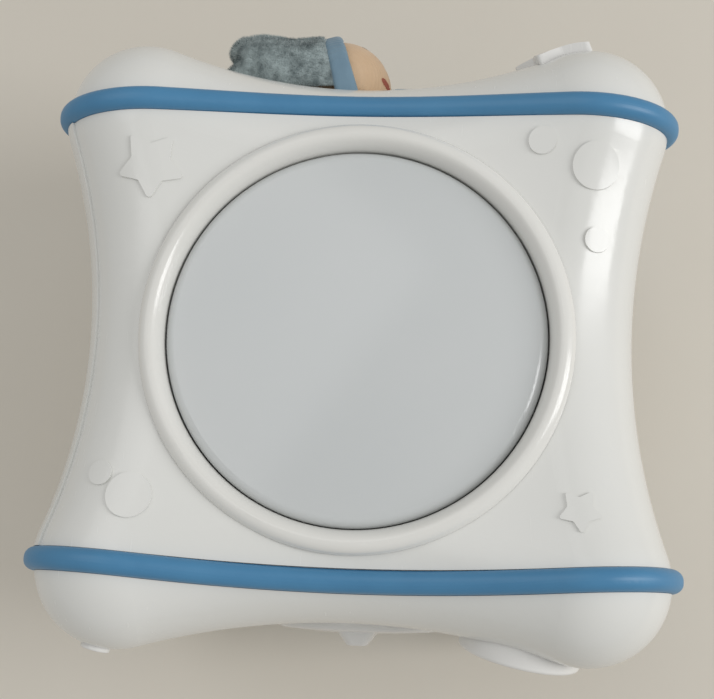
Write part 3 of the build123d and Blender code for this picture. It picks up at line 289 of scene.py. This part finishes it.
# Battery springs: tapered coils of nickelled wire, one at the flat end of each cell.
# The widest turn is clipped to the contact plate and the narrowest presses on the cell.
BAY_MIDDLE = Vector((0.0, -6.054, 90.5)) * MM
SPRING_SEAT = 28.5 * MM     # contact plate from the bay's middle
SPRING_L = 6.6 * MM
SPRING_WIDE, SPRING_NARROW = 4.85 * MM, 2.45 * MM
SPRING_TURNS = 4.5
WIRE_R = 0.35 * MM
CELL_PITCH = 15.2 * MM
CELLS = 4
WIRE_STEPS = 108
low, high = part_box("battery_springs")
spring_x = (low[0] + high[0]) / 2
wire = bpy.data.curves.new("battery_spring_wire", "CURVE")
wire.dimensions = "3D"
wire.bevel_depth = WIRE_R
wire.bevel_resolution = 2
wire.use_fill_caps = True
for i in range(CELLS):
    side = -1 if i % 2 == 0 else 1
    level = BAY_MIDDLE.z + (i - (CELLS - 1) / 2) * CELL_PITCH
    coil = wire.splines.new("POLY")
    coil.points.add(WIRE_STEPS)
    for j in range(WIRE_STEPS + 1):
        t = j / WIRE_STEPS
        reach = SPRING_WIDE + (SPRING_NARROW - SPRING_WIDE) * t
        turned = 2 * math.pi * SPRING_TURNS * t
        along = BAY_MIDDLE.y + side * (SPRING_SEAT - WIRE_R - (SPRING_L - 2 * WIRE_R) * t)
        aside, above = reach * math.cos(turned), reach * math.sin(turned)
        coil.points[j].co = (spring_x + aside, along, level + above, 1)
winding = bpy.data.objects.new("battery_spring_winding", wire)
bpy.context.scene.collection.objects.link(winding)
graph = bpy.context.evaluated_depsgraph_get()
coil_mesh = bpy.data.meshes.new_from_object(winding.evaluated_get(graph))
coils = bpy.data.objects.new("battery_spring_coils", coil_mesh)
bpy.data.objects.remove(winding)
bpy.context.scene.collection.objects.link(coils)
coils.data.shade_smooth()
coils.data.materials.clear()
coils.data.materials.append(NICKEL)
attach(coils, "casing")
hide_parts("battery_springs")

# Batteries: four AA cells in a shrink sleeve, dark along the body and coppery at the end with the nub.
# They lie head to tail, so the coppery end changes sides from one cell to the next.
COPPER_FROM = 12 * MM   # where the coppery end begins, from the middle of a cell
cells, tree, shader, where = new_material("battery_sleeve")
at = add(tree, "ShaderNodeSeparateXYZ", {"Vector": where})
lowest = BAY_MIDDLE.z - CELLS / 2 * CELL_PITCH
row = add(tree, "ShaderNodeMath", {0: at.outputs["Z"], 1: lowest}, operation="SUBTRACT")
wave = add(tree, "ShaderNodeMath", {0: row.outputs[0], 1: math.pi / CELL_PITCH}, operation="MULTIPLY")
hand = add(tree, "ShaderNodeMath", {0: wave.outputs[0]}, operation="SINE")
flip = add(tree, "ShaderNodeMath", {0: hand.outputs[0]}, operation="SIGN")
middle = add(tree, "ShaderNodeMath", {0: at.outputs["Y"], 1: BAY_MIDDLE.y}, operation="SUBTRACT")
towards = add(tree, "ShaderNodeMath", {0: middle.outputs[0], 1: flip.outputs[0]}, operation="MULTIPLY")
copper_end = add(tree, "ShaderNodeMath", {0: towards.outputs[0], 1: COPPER_FROM}, operation="GREATER_THAN")
sleeve = add(tree, "ShaderNodeTexNoise", {"Vector": where, "Scale": 1 / (8 * MM), "Detail": 2.0})
wrap = add(
    tree, "ShaderNodeMix",
    {"Factor": sleeve.outputs["Fac"], MIX_A: linear("#23282E"), MIX_B: linear("#2C3238")},
    data_type="RGBA",
)
two_tone = add(
    tree, "ShaderNodeMix",
    {"Factor": copper_end.outputs[0], MIX_A: wrap.outputs[MIX_OUT], MIX_B: linear("#B98A55")},
    data_type="RGBA",
)
feed(tree, shader, {
    "Base Color": two_tone.outputs[MIX_OUT], "Roughness": 0.25, "IOR": 1.5, "Metallic": 0.3,
})
dress(cells, ("battery_cells",))

# Anchor: a plate of natural nylon inside the end cap.
# Its two pins go through the cap into the doll's back and hold it on.
dress(moulded_abs("natural_nylon", "#E9E6DC", "#E0DCD0", 0.5), ("doll_anchor",))

# Doll: sewn from short-pile velour and jersey, stuffed with fibre and fixed to the end cap by an anchor.
# Each piece is its solid's skin, remeshed, pinned along its sewn seam and blown up as cloth.
SIM_SCALE = 10.0        # the solver is steadier on pieces of cushion size
SIM_FRAMES = 20
TUCK = 0.5 * MM         # the skin starts this far inside its solid
SWELL = 0.8 * MM        # and moves no further than this
MERGE = 0.002 * MM      # points of the solid's skin nearer than this are one
WRINKLE_L = 9 * MM
PRESSURE = 4.0
SHRINK = -0.04          # negative: the cloth is cut a little too large


def plain_mesh(piece):
    """Apply a piece's modifiers: its evaluated shape becomes its mesh."""
    graph = bpy.context.evaluated_depsgraph_get()
    made = bpy.data.meshes.new_from_object(piece.evaluated_get(graph))
    piece.modifiers.clear()
    piece.data = made


def points_of(mesh):
    """A mesh's points as an array."""
    points = np.empty(len(mesh.vertices) * 3)
    mesh.vertices.foreach_get("co", points)
    return points.reshape(-1, 3)


def normals_of(mesh):
    """A mesh's normals at its points as an array."""
    normals = np.empty(len(mesh.vertices) * 3)
    mesh.vertex_normals.foreach_get("vector", normals)
    return normals.reshape(-1, 3)


def stuffed_piece(name, source, seam_normal, wrinkle, voxel, evening):
    """A stuffed piece of cloth in place of a soft solid, with a seam in the plane across seam_normal."""
    mesh = nodes[source].data.copy()
    piece = bpy.data.objects.new(name, mesh)
    bpy.context.scene.collection.objects.link(piece)
    work = bmesh.new()
    work.from_mesh(mesh)
    bmesh.ops.remove_doubles(work, verts=work.verts, dist=MERGE)
    work.to_mesh(mesh)
    work.free()
    mesh.transform(Matrix.Scale(SIM_SCALE, 4))
    remesh = piece.modifiers.new("Remesh", "REMESH")
    remesh.mode = "VOXEL"
    remesh.voxel_size = voxel * SIM_SCALE
    plain_mesh(piece)
    evened = piece.modifiers.new("Smooth", "SMOOTH")
    evened.factor = 0.5
    evened.iterations = evening
    plain_mesh(piece)
    start = points_of(piece.data) - normals_of(piece.data) * min(TUCK, voxel / 3) * SIM_SCALE
    ripple = [noise.noise(Vector(p) / (WRINKLE_L * SIM_SCALE)) for p in start]
    start += normals_of(piece.data) * (np.array(ripple) * wrinkle * SIM_SCALE)[:, None]
    piece.data.vertices.foreach_set("co", start.ravel())
    piece.data.update()
    middle = (start.max(0) + start.min(0)) / 2
    across = np.abs((start - middle) @ np.array(seam_normal, float))
    held = np.nonzero(across < voxel * SIM_SCALE * 0.6)[0]
    group = piece.vertex_groups.new(name="seam")
    group.add([int(i) for i in held], 1.0, "REPLACE")
    cloth = piece.modifiers.new("Cloth", "CLOTH")
    cloth.settings.use_pressure = True
    cloth.settings.uniform_pressure_force = PRESSURE
    cloth.settings.shrink_min = SHRINK
    cloth.settings.vertex_group_mass = "seam"
    cloth.settings.effector_weights.gravity = 0.0
    cloth.collision_settings.use_collision = False
    cloth.point_cache.frame_end = SIM_FRAMES
    for number in range(1, SIM_FRAMES + 1):
        bpy.context.scene.frame_set(number)
    plain_mesh(piece)
    bpy.context.scene.frame_set(1)
    piece.vertex_groups.clear()
    moved = points_of(piece.data) - start
    far = np.linalg.norm(moved, axis=1)
    limit = SWELL * SIM_SCALE
    moved *= (limit * np.tanh(far / limit) / np.maximum(far, 1e-9))[:, None]
    piece.data.vertices.foreach_set("co", (start + moved).ravel())
    piece.data.transform(Matrix.Scale(1 / SIM_SCALE, 4))
    finer = piece.modifiers.new("Subdivision", "SUBSURF")
    finer.levels = 1
    finer.render_levels = 1
    plain_mesh(piece)
    piece.data.shade_smooth()
    return piece


def velour(name, light, dark, pile_mm):
    """Short-pile velour: nap that lies in clouds, light at a grazing angle, with a fine tufted surface."""
    material, tree, shader, where = new_material(name)
    nap = add(
        tree, "ShaderNodeTexNoise",
        {"Vector": where, "Scale": 1 / (5 * MM), "Detail": 5.0, "Roughness": 0.65},
    )
    cloudy = add(
        tree, "ShaderNodeMapRange",
        {"Value": nap.outputs["Fac"], "From Min": 0.36, "From Max": 0.64},
    )
    tint = add(
        tree, "ShaderNodeMix",
        {"Factor": cloudy.outputs[0], MIX_A: linear(dark), MIX_B: linear(light)},
        data_type="RGBA",
    )
    tufts = add(tree, "ShaderNodeTexNoise", {"Vector": where, "Scale": 1 / (pile_mm * MM), "Detail": 3.0})
    fluff = add(
        tree, "ShaderNodeBump",
        {"Height": tufts.outputs["Fac"], "Strength": 1.0, "Distance": 0.35 * MM},
    )
    feed(tree, shader, {
        "Base Color": tint.outputs[MIX_OUT], "Roughness": 0.95, "Specular IOR Level": 0.15,
        "Sheen Weight": 0.5, "Sheen Roughness": 0.4, "Normal": fluff.outputs[0],
    })
    return material


def jersey(name, light, dark, stitch_mm):
    """Knitted jersey: rows of small loops, drawn about twice their true size so that they show."""
    material, tree, shader, where = new_material(name)
    rows = add(
        tree, "ShaderNodeTexWave",
        {"Vector": where, "Scale": 1 / (stitch_mm * MM) / 6.28, "Distortion": 0.6, "Detail": 1.0},
        bands_direction="Z",
    )
    loops = add(tree, "ShaderNodeTexNoise", {"Vector": where, "Scale": 1 / (stitch_mm * MM), "Detail": 2.0})
    worn = add(tree, "ShaderNodeTexNoise", {"Vector": where, "Scale": 1 / (7 * MM), "Detail": 4.0})
    tint = add(
        tree, "ShaderNodeMix",
        {"Factor": worn.outputs["Fac"], MIX_A: linear(dark), MIX_B: linear(light)},
        data_type="RGBA",
    )
    knit = add(tree, "ShaderNodeMath", {0: rows.outputs["Fac"], 1: loops.outputs["Fac"]}, operation="ADD")
    surface = add(
        tree, "ShaderNodeBump",
        {"Height": knit.outputs[0], "Strength": 0.7, "Distance": 0.12 * MM},
    )
    feed(tree, shader, {
        "Base Color": tint.outputs[MIX_OUT], "Roughness": 0.85, "Specular IOR Level": 0.25,
        "Sheen Weight": 0.25, "Sheen Roughness": 0.4, "Normal": surface.outputs[0],
    })
    return material


PILE_L = 1.0 * MM
PILE_R = 0.07 * MM      # thicker than true pile, so that it shows
PILE_PER_M2 = 6.0e6
PILE_CLEAR = 1.5 * MM   # no pile where another piece is nearer than this
TAIL_FROM = -22.0       # the nightcap's folded end, in millimetres: where it begins along X
TAIL_L = 18.0
TAIL_Y = 79.0
TAIL_SPREAD = 0.32
TAIL_DENT = 3.5
DENT_OUT = 3.0          # the dent between the two corners: how far out it lies, and its half width
DENT_W = 1.5
CORNER_FROM = -38.0     # the outer corner of the folded end
CORNER_L = 7.0
CORNER_SPREAD = 0.35
CAP_FLAT = 0.09
HEM_BACK = (-9.68, 74.6, 132.0)     # middle of the hem's back edge, in millimetres
HEM_OUT = (-0.9613, -0.2756, 0.0)   # from the hem along the nightcap
HEM_REACH = 6.0
HEM_PULL = 1.6          # the cap's edge runs this far under the hem
HEM_SPREAD = 1.4        # and the hem's back edge this far over the cap
HEM_PROUD = 0.5
HEAD_MIDDLE = Vector((-9.5, 76.15, 132.0)) * MM
HEAD_PRESS = 3.0        # the head is pressed in this far under the cap
HEAD_FADE = 2.0


def start_tree(name, inputs):
    """A Geometry Nodes tree with geometry in and out and named number inputs, and its input node."""
    tree = bpy.data.node_groups.new(name, "GeometryNodeTree")
    tree.interface.new_socket("Geometry", in_out="INPUT", socket_type="NodeSocketGeometry")
    for label in inputs:
        tree.interface.new_socket(label, in_out="INPUT", socket_type="NodeSocketFloat")
    tree.interface.new_socket("Geometry", in_out="OUTPUT", socket_type="NodeSocketGeometry")
    return tree, add(tree, "NodeGroupInput", {})


def end_tree(tree, geometry, material):
    """Close a tree: its instances become real and take a material."""
    real = add(tree, "GeometryNodeRealizeInstances", {"Geometry": geometry})
    dyed = add(tree, "GeometryNodeSetMaterial", {"Geometry": real.outputs[0], "Material": material})
    add(tree, "NodeGroupOutput", {"Geometry": dyed.outputs[0]})


def run_tree(piece, tree, values):
    """Run a tree on a piece with its inputs set, and keep the result as plain mesh."""
    modifier = piece.modifiers.new(tree.name, "NODES")
    modifier.node_group = tree
    for item in tree.interface.items_tree:
        if item.in_out == "INPUT" and item.name in values:
            modifier[item.identifier] = values[item.name]
    plain_mesh(piece)


def pile_tree(material):
    """Short upright pile over a cloth skin, thinned by the skin's own pile attribute."""
    tree, given = start_tree(material.name + "_pile", ("Length", "Radius", "Density"))
    free = add(tree, "GeometryNodeInputNamedAttribute", {"Name": "pile"}, data_type="FLOAT")
    dense = add(
        tree, "ShaderNodeMath",
        {0: given.outputs["Density"], 1: free.outputs[0]},
        operation="MULTIPLY",
    )
    spots = add(
        tree, "GeometryNodeDistributePointsOnFaces",
        {"Mesh": given.outputs["Geometry"], "Density": dense.outputs[0], "Seed": 5},
    )
    fibre = add(
        tree, "GeometryNodeMeshCone",
        {"Vertices": 3, "Side Segments": 1, "Radius Top": 0.0, "Radius Bottom": given.outputs["Radius"],
         "Depth": given.outputs["Length"]},
        fill_type="NONE",
    )
    lean = add(
        tree, "FunctionNodeRandomValue",
        {0: (-0.5, -0.5, -3.0), 1: (0.5, 0.5, 3.0), "Seed": 8},
        data_type="FLOAT_VECTOR",
    )
    turned = add(
        tree, "FunctionNodeRotateRotation",
        {"Rotation": spots.outputs["Rotation"], "Rotate By": lean.outputs[0]},
        rotation_space="LOCAL",
    )
    size = add(tree, "FunctionNodeRandomValue", {2: 0.6, 3: 1.1, "Seed": 9}, data_type="FLOAT")
    grown = add(
        tree, "GeometryNodeInstanceOnPoints",
        {"Points": spots.outputs["Points"], "Instance": fibre.outputs["Mesh"],
         "Rotation": turned.outputs[0], "Scale": size.outputs[1]},
    )
    whole = add(tree, "GeometryNodeJoinGeometry", {"Geometry": given.outputs["Geometry"]})
    tree.links.new(grown.outputs[0], whole.inputs[0])
    end_tree(tree, whole.outputs[0], material)
    return tree


def skin_search(mesh):
    """A search tree of a mesh's skin."""
    return BVHTree.FromPolygons([v.co for v in mesh.vertices], [p.vertices for p in mesh.polygons])


SKIN = jersey("peach_jersey", "#DDC0A1", "#D2B391", 0.5)
HEM = jersey("blue_jersey", "#829DAE", "#708B9F", 0.5)
NIGHTCAP = velour("grey_velour", "#B0BDBE", "#6A7678", 0.8)
PYJAMA = velour("pale_blue_velour", "#AEC4D0", "#95AEBC", 0.8)
PILES = {material.name: pile_tree(material) for material in (NIGHTCAP, PYJAMA)}
# For each solid: its piece, cloth, slot, the normal of its seam, wrinkle, voxel and rounds of smoothing
DOLL_PIECES = {
    "doll_body": ("stuffed_body", PYJAMA, "pyjama_fleece", (1, 0, 0.3), 0.25 * MM, 1.5 * MM, 6),
    "doll_left_leg": ("stuffed_left_leg", PYJAMA, "pyjama_fleece", (1, 0, -0.5), 0.2 * MM, 1.2 * MM, 6),
    "doll_right_leg": ("stuffed_right_leg", PYJAMA, "pyjama_fleece", (1, 0, 0.5), 0.2 * MM, 1.2 * MM, 6),
    "doll_left_arm": ("stuffed_left_arm", PYJAMA, "pyjama_fleece", (0.7, 0, -0.7), 0.2 * MM, 1.2 * MM, 6),
    "doll_right_arm": ("stuffed_right_arm", PYJAMA, "pyjama_fleece", (0, 0, 1), 0.2 * MM, 1.2 * MM, 6),
    "doll_head": ("stuffed_head", SKIN, "doll_skin", (0, 0, 1), 0.1 * MM, 1.2 * MM, 8),
    "doll_nightcap": ("stuffed_nightcap", NIGHTCAP, "nightcap_fleece", (0, 0, 1), 0.35 * MM, 1.2 * MM, 4),
    "doll_hem": ("nightcap_hem", HEM, "hem_blue", (0, 0, 1), 0.05 * MM, 0.5 * MM, 3),
}


def place_points(mesh, points):
    """Move a mesh's points to places in millimetres."""
    mesh.vertices.foreach_set("co", (points * MM).ravel())
    mesh.update()


def fold_tail(mesh):
    """Square off the nightcap's end, where its cloth is folded over, and flatten the cap by the hem."""
    points = points_of(mesh) / MM
    near_end = np.clip((TAIL_FROM - points[:, 0]) / TAIL_L, 0, 1)
    near_end = near_end * near_end * (3 - 2 * near_end)
    corner = np.clip((CORNER_FROM - points[:, 0]) / CORNER_L, 0, 1)
    out = points[:, 1] - TAIL_Y
    fuller = TAIL_SPREAD * near_end + CORNER_SPREAD * corner - CAP_FLAT * (1 - near_end)
    points[:, 1] += np.maximum(out, 0) * fuller
    points[:, 0] += TAIL_DENT * corner * np.exp(-(((out - DENT_OUT) / DENT_W) ** 2))
    place_points(mesh, points)


def draw_cloth(mesh, along, outward):
    """Draw cloth at the hem's back edge along the cap and outward, so that cap and hem overlap as sewn."""
    points = points_of(mesh) / MM
    offset = points - np.array(HEM_BACK)
    behind = offset @ np.array(HEM_OUT)
    points += np.outer(along * np.clip(1 - np.abs(behind) / HEM_REACH, 0, 1), np.array(HEM_OUT))
    away = offset - np.outer(behind, np.array(HEM_OUT))
    away /= np.maximum(np.linalg.norm(away, axis=1), 1e-6)[:, None]
    points += outward * away
    place_points(mesh, points)


def pull_head_in(mesh):
    """Press the head in a little where the nightcap covers it."""
    points = points_of(mesh) / MM
    behind = (points - np.array(HEM_BACK)) @ np.array(HEM_OUT)
    inward = np.array(HEAD_MIDDLE) / MM - points
    inward /= np.maximum(np.linalg.norm(inward, axis=1), 1e-6)[:, None]
    points += inward * (HEAD_PRESS * np.clip(behind / HEAD_FADE, 0, 1))[:, None]
    place_points(mesh, points)


NEIGHBOURS = (*DOLL_PIECES, "doll_cap", "doll_trim", "star_button")
AROUND = {name: skin_search(nodes[name].data) for name in NEIGHBOURS}
for source, (name, cloth_material, finish, seam_normal, wrinkle, voxel, evening) in DOLL_PIECES.items():
    piece = stuffed_piece(name, source, Vector(seam_normal).normalized(), wrinkle, voxel, evening)
    if source == "doll_nightcap":
        fold_tail(piece.data)
        draw_cloth(piece.data, -HEM_PULL, 0.0)
    if source == "doll_hem":
        draw_cloth(piece.data, HEM_SPREAD, HEM_PROUD)
    if source == "doll_head":
        pull_head_in(piece.data)
    if cloth_material.name in PILES:
        near = [search for other, search in AROUND.items() if other != source]
        free = [
            float(all(search.find_nearest(v.co, PILE_CLEAR)[0] is None for search in near))
            for v in piece.data.vertices
        ]
        piece.data.attributes.new("pile", "FLOAT", "POINT").data.foreach_set("value", free)
        sizes = {"Length": PILE_L, "Radius": PILE_R, "Density": PILE_PER_M2}
        run_tree(piece, PILES[cloth_material.name], sizes)
    piece.data.materials.clear()
    piece.data.materials.append(cloth_material)
    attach(piece, "casing")
    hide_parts(source)

# Doll's face: two closed eyes and a small mouth, embroidered on the head in cotton thread.
# Every stitch lies on the stuffed skin, found along a line from the head's middle.
MOUTH_AT = Vector((0.89, 0.04, 0.45)).normalized()
BROW_AT = Vector((0.60, 0.79, -0.08)).normalized()
ACROSS = MOUTH_AT.cross(BROW_AT).normalized()
DOWN = (MOUTH_AT - BROW_AT * MOUTH_AT.dot(BROW_AT)).normalized()
EYE_APART = math.radians(14)
EYE_HALF = math.radians(8)
EYE_SAG = math.radians(5)
MOUTH_HALF = math.radians(8.5)
MOUTH_TALL = math.radians(7)
MOUTH_ROWS = 7
THREAD_R = 0.2 * MM
THREAD_PROUD = 0.08 * MM    # middle of the thread above the skin
STITCH_OVERLAP = 0.62   # half a stitch to its pitch


def cotton(name, light, dark):
    """Embroidery cotton: a soft shine, with the twist of the strand as fine slanting shade."""
    material, tree, shader, where = new_material(name)
    twist = add(tree, "ShaderNodeTexNoise", {"Vector": where, "Scale": 1 / (0.3 * MM), "Detail": 2.0})
    tint = add(
        tree, "ShaderNodeMix",
        {"Factor": twist.outputs["Fac"], MIX_A: linear(dark), MIX_B: linear(light)},
        data_type="RGBA",
    )
    strand = add(
        tree, "ShaderNodeBump",
        {"Height": twist.outputs["Fac"], "Strength": 0.6, "Distance": 0.05 * MM},
    )
    feed(tree, shader, {
        "Base Color": tint.outputs[MIX_OUT], "Roughness": 0.6, "Sheen Weight": 0.2,
        "Normal": strand.outputs[0],
    })
    return material


def stitch_tree(material):
    """Stitches along lines: at each pitch a small spindle of thread, laid along its line."""
    tree, given = start_tree(material.name + "_stitches", ("Pitch", "Length", "Radius"))
    line = add(tree, "GeometryNodeMeshToCurve", {"Mesh": given.outputs["Geometry"]})
    marks = add(
        tree, "GeometryNodeResampleCurve",
        {"Curve": line.outputs[0], "Length": given.outputs["Pitch"]},
        mode="LENGTH",
    )
    course = add(tree, "GeometryNodeInputTangent", {})
    turned = add(tree, "FunctionNodeAlignRotationToVector", {"Vector": course.outputs[0]}, axis="Z")
    spindle = add(tree, "GeometryNodeMeshUVSphere", {"Segments": 10, "Rings": 6, "Radius": 1.0})
    soft = add(tree, "GeometryNodeSetShadeSmooth", {"Geometry": spindle.outputs["Mesh"]})
    size = add(
        tree, "ShaderNodeCombineXYZ",
        {"X": given.outputs["Radius"], "Y": given.outputs["Radius"], "Z": given.outputs["Length"]},
    )
    laid = add(
        tree, "GeometryNodeInstanceOnPoints",
        {"Points": marks.outputs[0], "Instance": soft.outputs[0],
         "Rotation": turned.outputs[0], "Scale": size.outputs[0]},
    )
    end_tree(tree, laid.outputs[0], material)
    return tree


def sewn(name, lines, material, pitch):
    """Stitches of one thread along lines of points, as a piece that rides on the casing."""
    mesh = bpy.data.meshes.new(name)
    points = [p for line in lines for p in line]
    edges = []
    first = 0
    for line in lines:
        edges += [(first + i, first + i + 1) for i in range(len(line) - 1)]
        first += len(line)
    mesh.from_pydata(points, edges, [])
    piece = bpy.data.objects.new(name, mesh)
    bpy.context.scene.collection.objects.link(piece)
    sizes = {"Pitch": pitch, "Length": pitch * STITCH_OVERLAP, "Radius": THREAD_R}
    run_tree(piece, stitch_tree(material), sizes)
    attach(piece, "casing")
    return piece


head_skin = skin_search(bpy.data.objects["stuffed_head"].data)


def on_head(aside, down, origin):
    """The point of the head's skin at angles aside and down from a direction."""
    way = (origin + ACROSS * math.tan(aside) + DOWN * math.tan(down)).normalized()
    place, normal, face, far = head_skin.ray_cast(HEAD_MIDDLE, way)
    return place + normal * THREAD_PROUD


lids = []
for side in (-1, 1):
    lid = []
    for i in range(13):
        t = i / 6 - 1
        lid.append(on_head(side * EYE_APART + EYE_HALF * t, EYE_SAG * (1 - t * t), BROW_AT))
    lids.append(lid)
sewn("eye_stitches", lids, cotton("brown_cotton", "#5A4133", "#473126"), 0.55 * MM)

lips = []
for i in range(MOUTH_ROWS):
    level = (2 * i + 1) / MOUTH_ROWS - 1
    half = MOUTH_HALF * math.sqrt(1 - level * level)
    lips.append([on_head(half * (j / 4 - 1), MOUTH_TALL * level, MOUTH_AT) for j in range(9)])
sewn("mouth_stitches", lips, cotton("russet_cotton", "#AE5E48", "#984C38"), 0.6 * MM)

# Floor and light: a sweep of pale paper under the object.
# A soft window stands at the right, a weak bounce at the far left, and an even sky lies all round.
FLOOR_HALF = 2.5
floor_mesh = bpy.data.meshes.new("floor")
corners = [(FLOOR_HALF * x, FLOOR_HALF * y, 0) for x, y in ((-1, -1), (1, -1), (1, 1), (-1, 1))]
floor_mesh.from_pydata(corners, [], [(0, 1, 2, 3)])
floor = bpy.data.objects.new("floor", floor_mesh)
bpy.context.scene.collection.objects.link(floor)
paper, tree, shader, where = new_material("pale_paper")
fibre = add(tree, "ShaderNodeTexNoise", {"Vector": where, "Scale": 1 / (90 * MM), "Detail": 4.0})
sweep = add(
    tree, "ShaderNodeMix",
    {"Factor": fibre.outputs["Fac"], MIX_A: linear("#D9D2C6"), MIX_B: linear("#DED8CD")},
    data_type="RGBA",
)
feed(tree, shader, {"Base Color": sweep.outputs[MIX_OUT], "Roughness": 0.8})
floor_mesh.materials.append(paper)


def soft_light(name, place, aim, size, power):
    """A square softbox at a place, turned to a point."""
    lamp = bpy.data.lights.new(name, "AREA")
    lamp.shape = "RECTANGLE"
    lamp.size, lamp.size_y = size
    lamp.energy = power
    holder = bpy.data.objects.new(name, lamp)
    holder.location = place
    holder.rotation_mode = "QUATERNION"
    holder.rotation_quaternion = (Vector(aim) - Vector(place)).to_track_quat("-Z", "Y")
    bpy.context.scene.collection.objects.link(holder)


MIDDLE = (0.0, 0.0, 0.09)
soft_light("window", (1.0, -0.05, 0.8), MIDDLE, (0.35, 0.9), 6.2)
soft_light("bounce", (-0.5, 0.35, 1.3), MIDDLE, (1.0, 1.0), 2.6)
world = bpy.data.worlds.new("room")
world.use_nodes = True
feed(world.node_tree, world.node_tree.nodes["Background"], {"Color": linear("#F2F2F0"), "Strength": 0.52})
bpy.context.scene.world = world

# Camera: it stands above the panel and looks down, as in the photograph.
# Its place and turn were fitted to the outlines of the casing, the ring and the bands.
CAMERA_PLACE = Vector((0.0217, -0.0712, 0.4962))
CAMERA_RIGHT = Vector((0.9977, 0.0365, -0.0571))
CAMERA_UP = Vector((-0.0254, 0.9826, 0.1837))
SENSOR_W = 36.0
FOCAL_L = 62.8
lens = bpy.data.cameras.new("camera")
lens.sensor_width = SENSOR_W
lens.lens = FOCAL_L
camera = bpy.data.objects.new("camera", lens)
back = CAMERA_RIGHT.cross(CAMERA_UP).normalized()
right = CAMERA_UP.cross(back).normalized()
up = back.cross(right)
turn = Matrix((right, up, back)).transposed().to_4x4()
camera.matrix_world = Matrix.Translation(CAMERA_PLACE) @ turn
bpy.context.scene.collection.objects.link(camera)
bpy.context.scene.camera = camera
bpy.context.scene.view_settings.view_transform = "Standard"
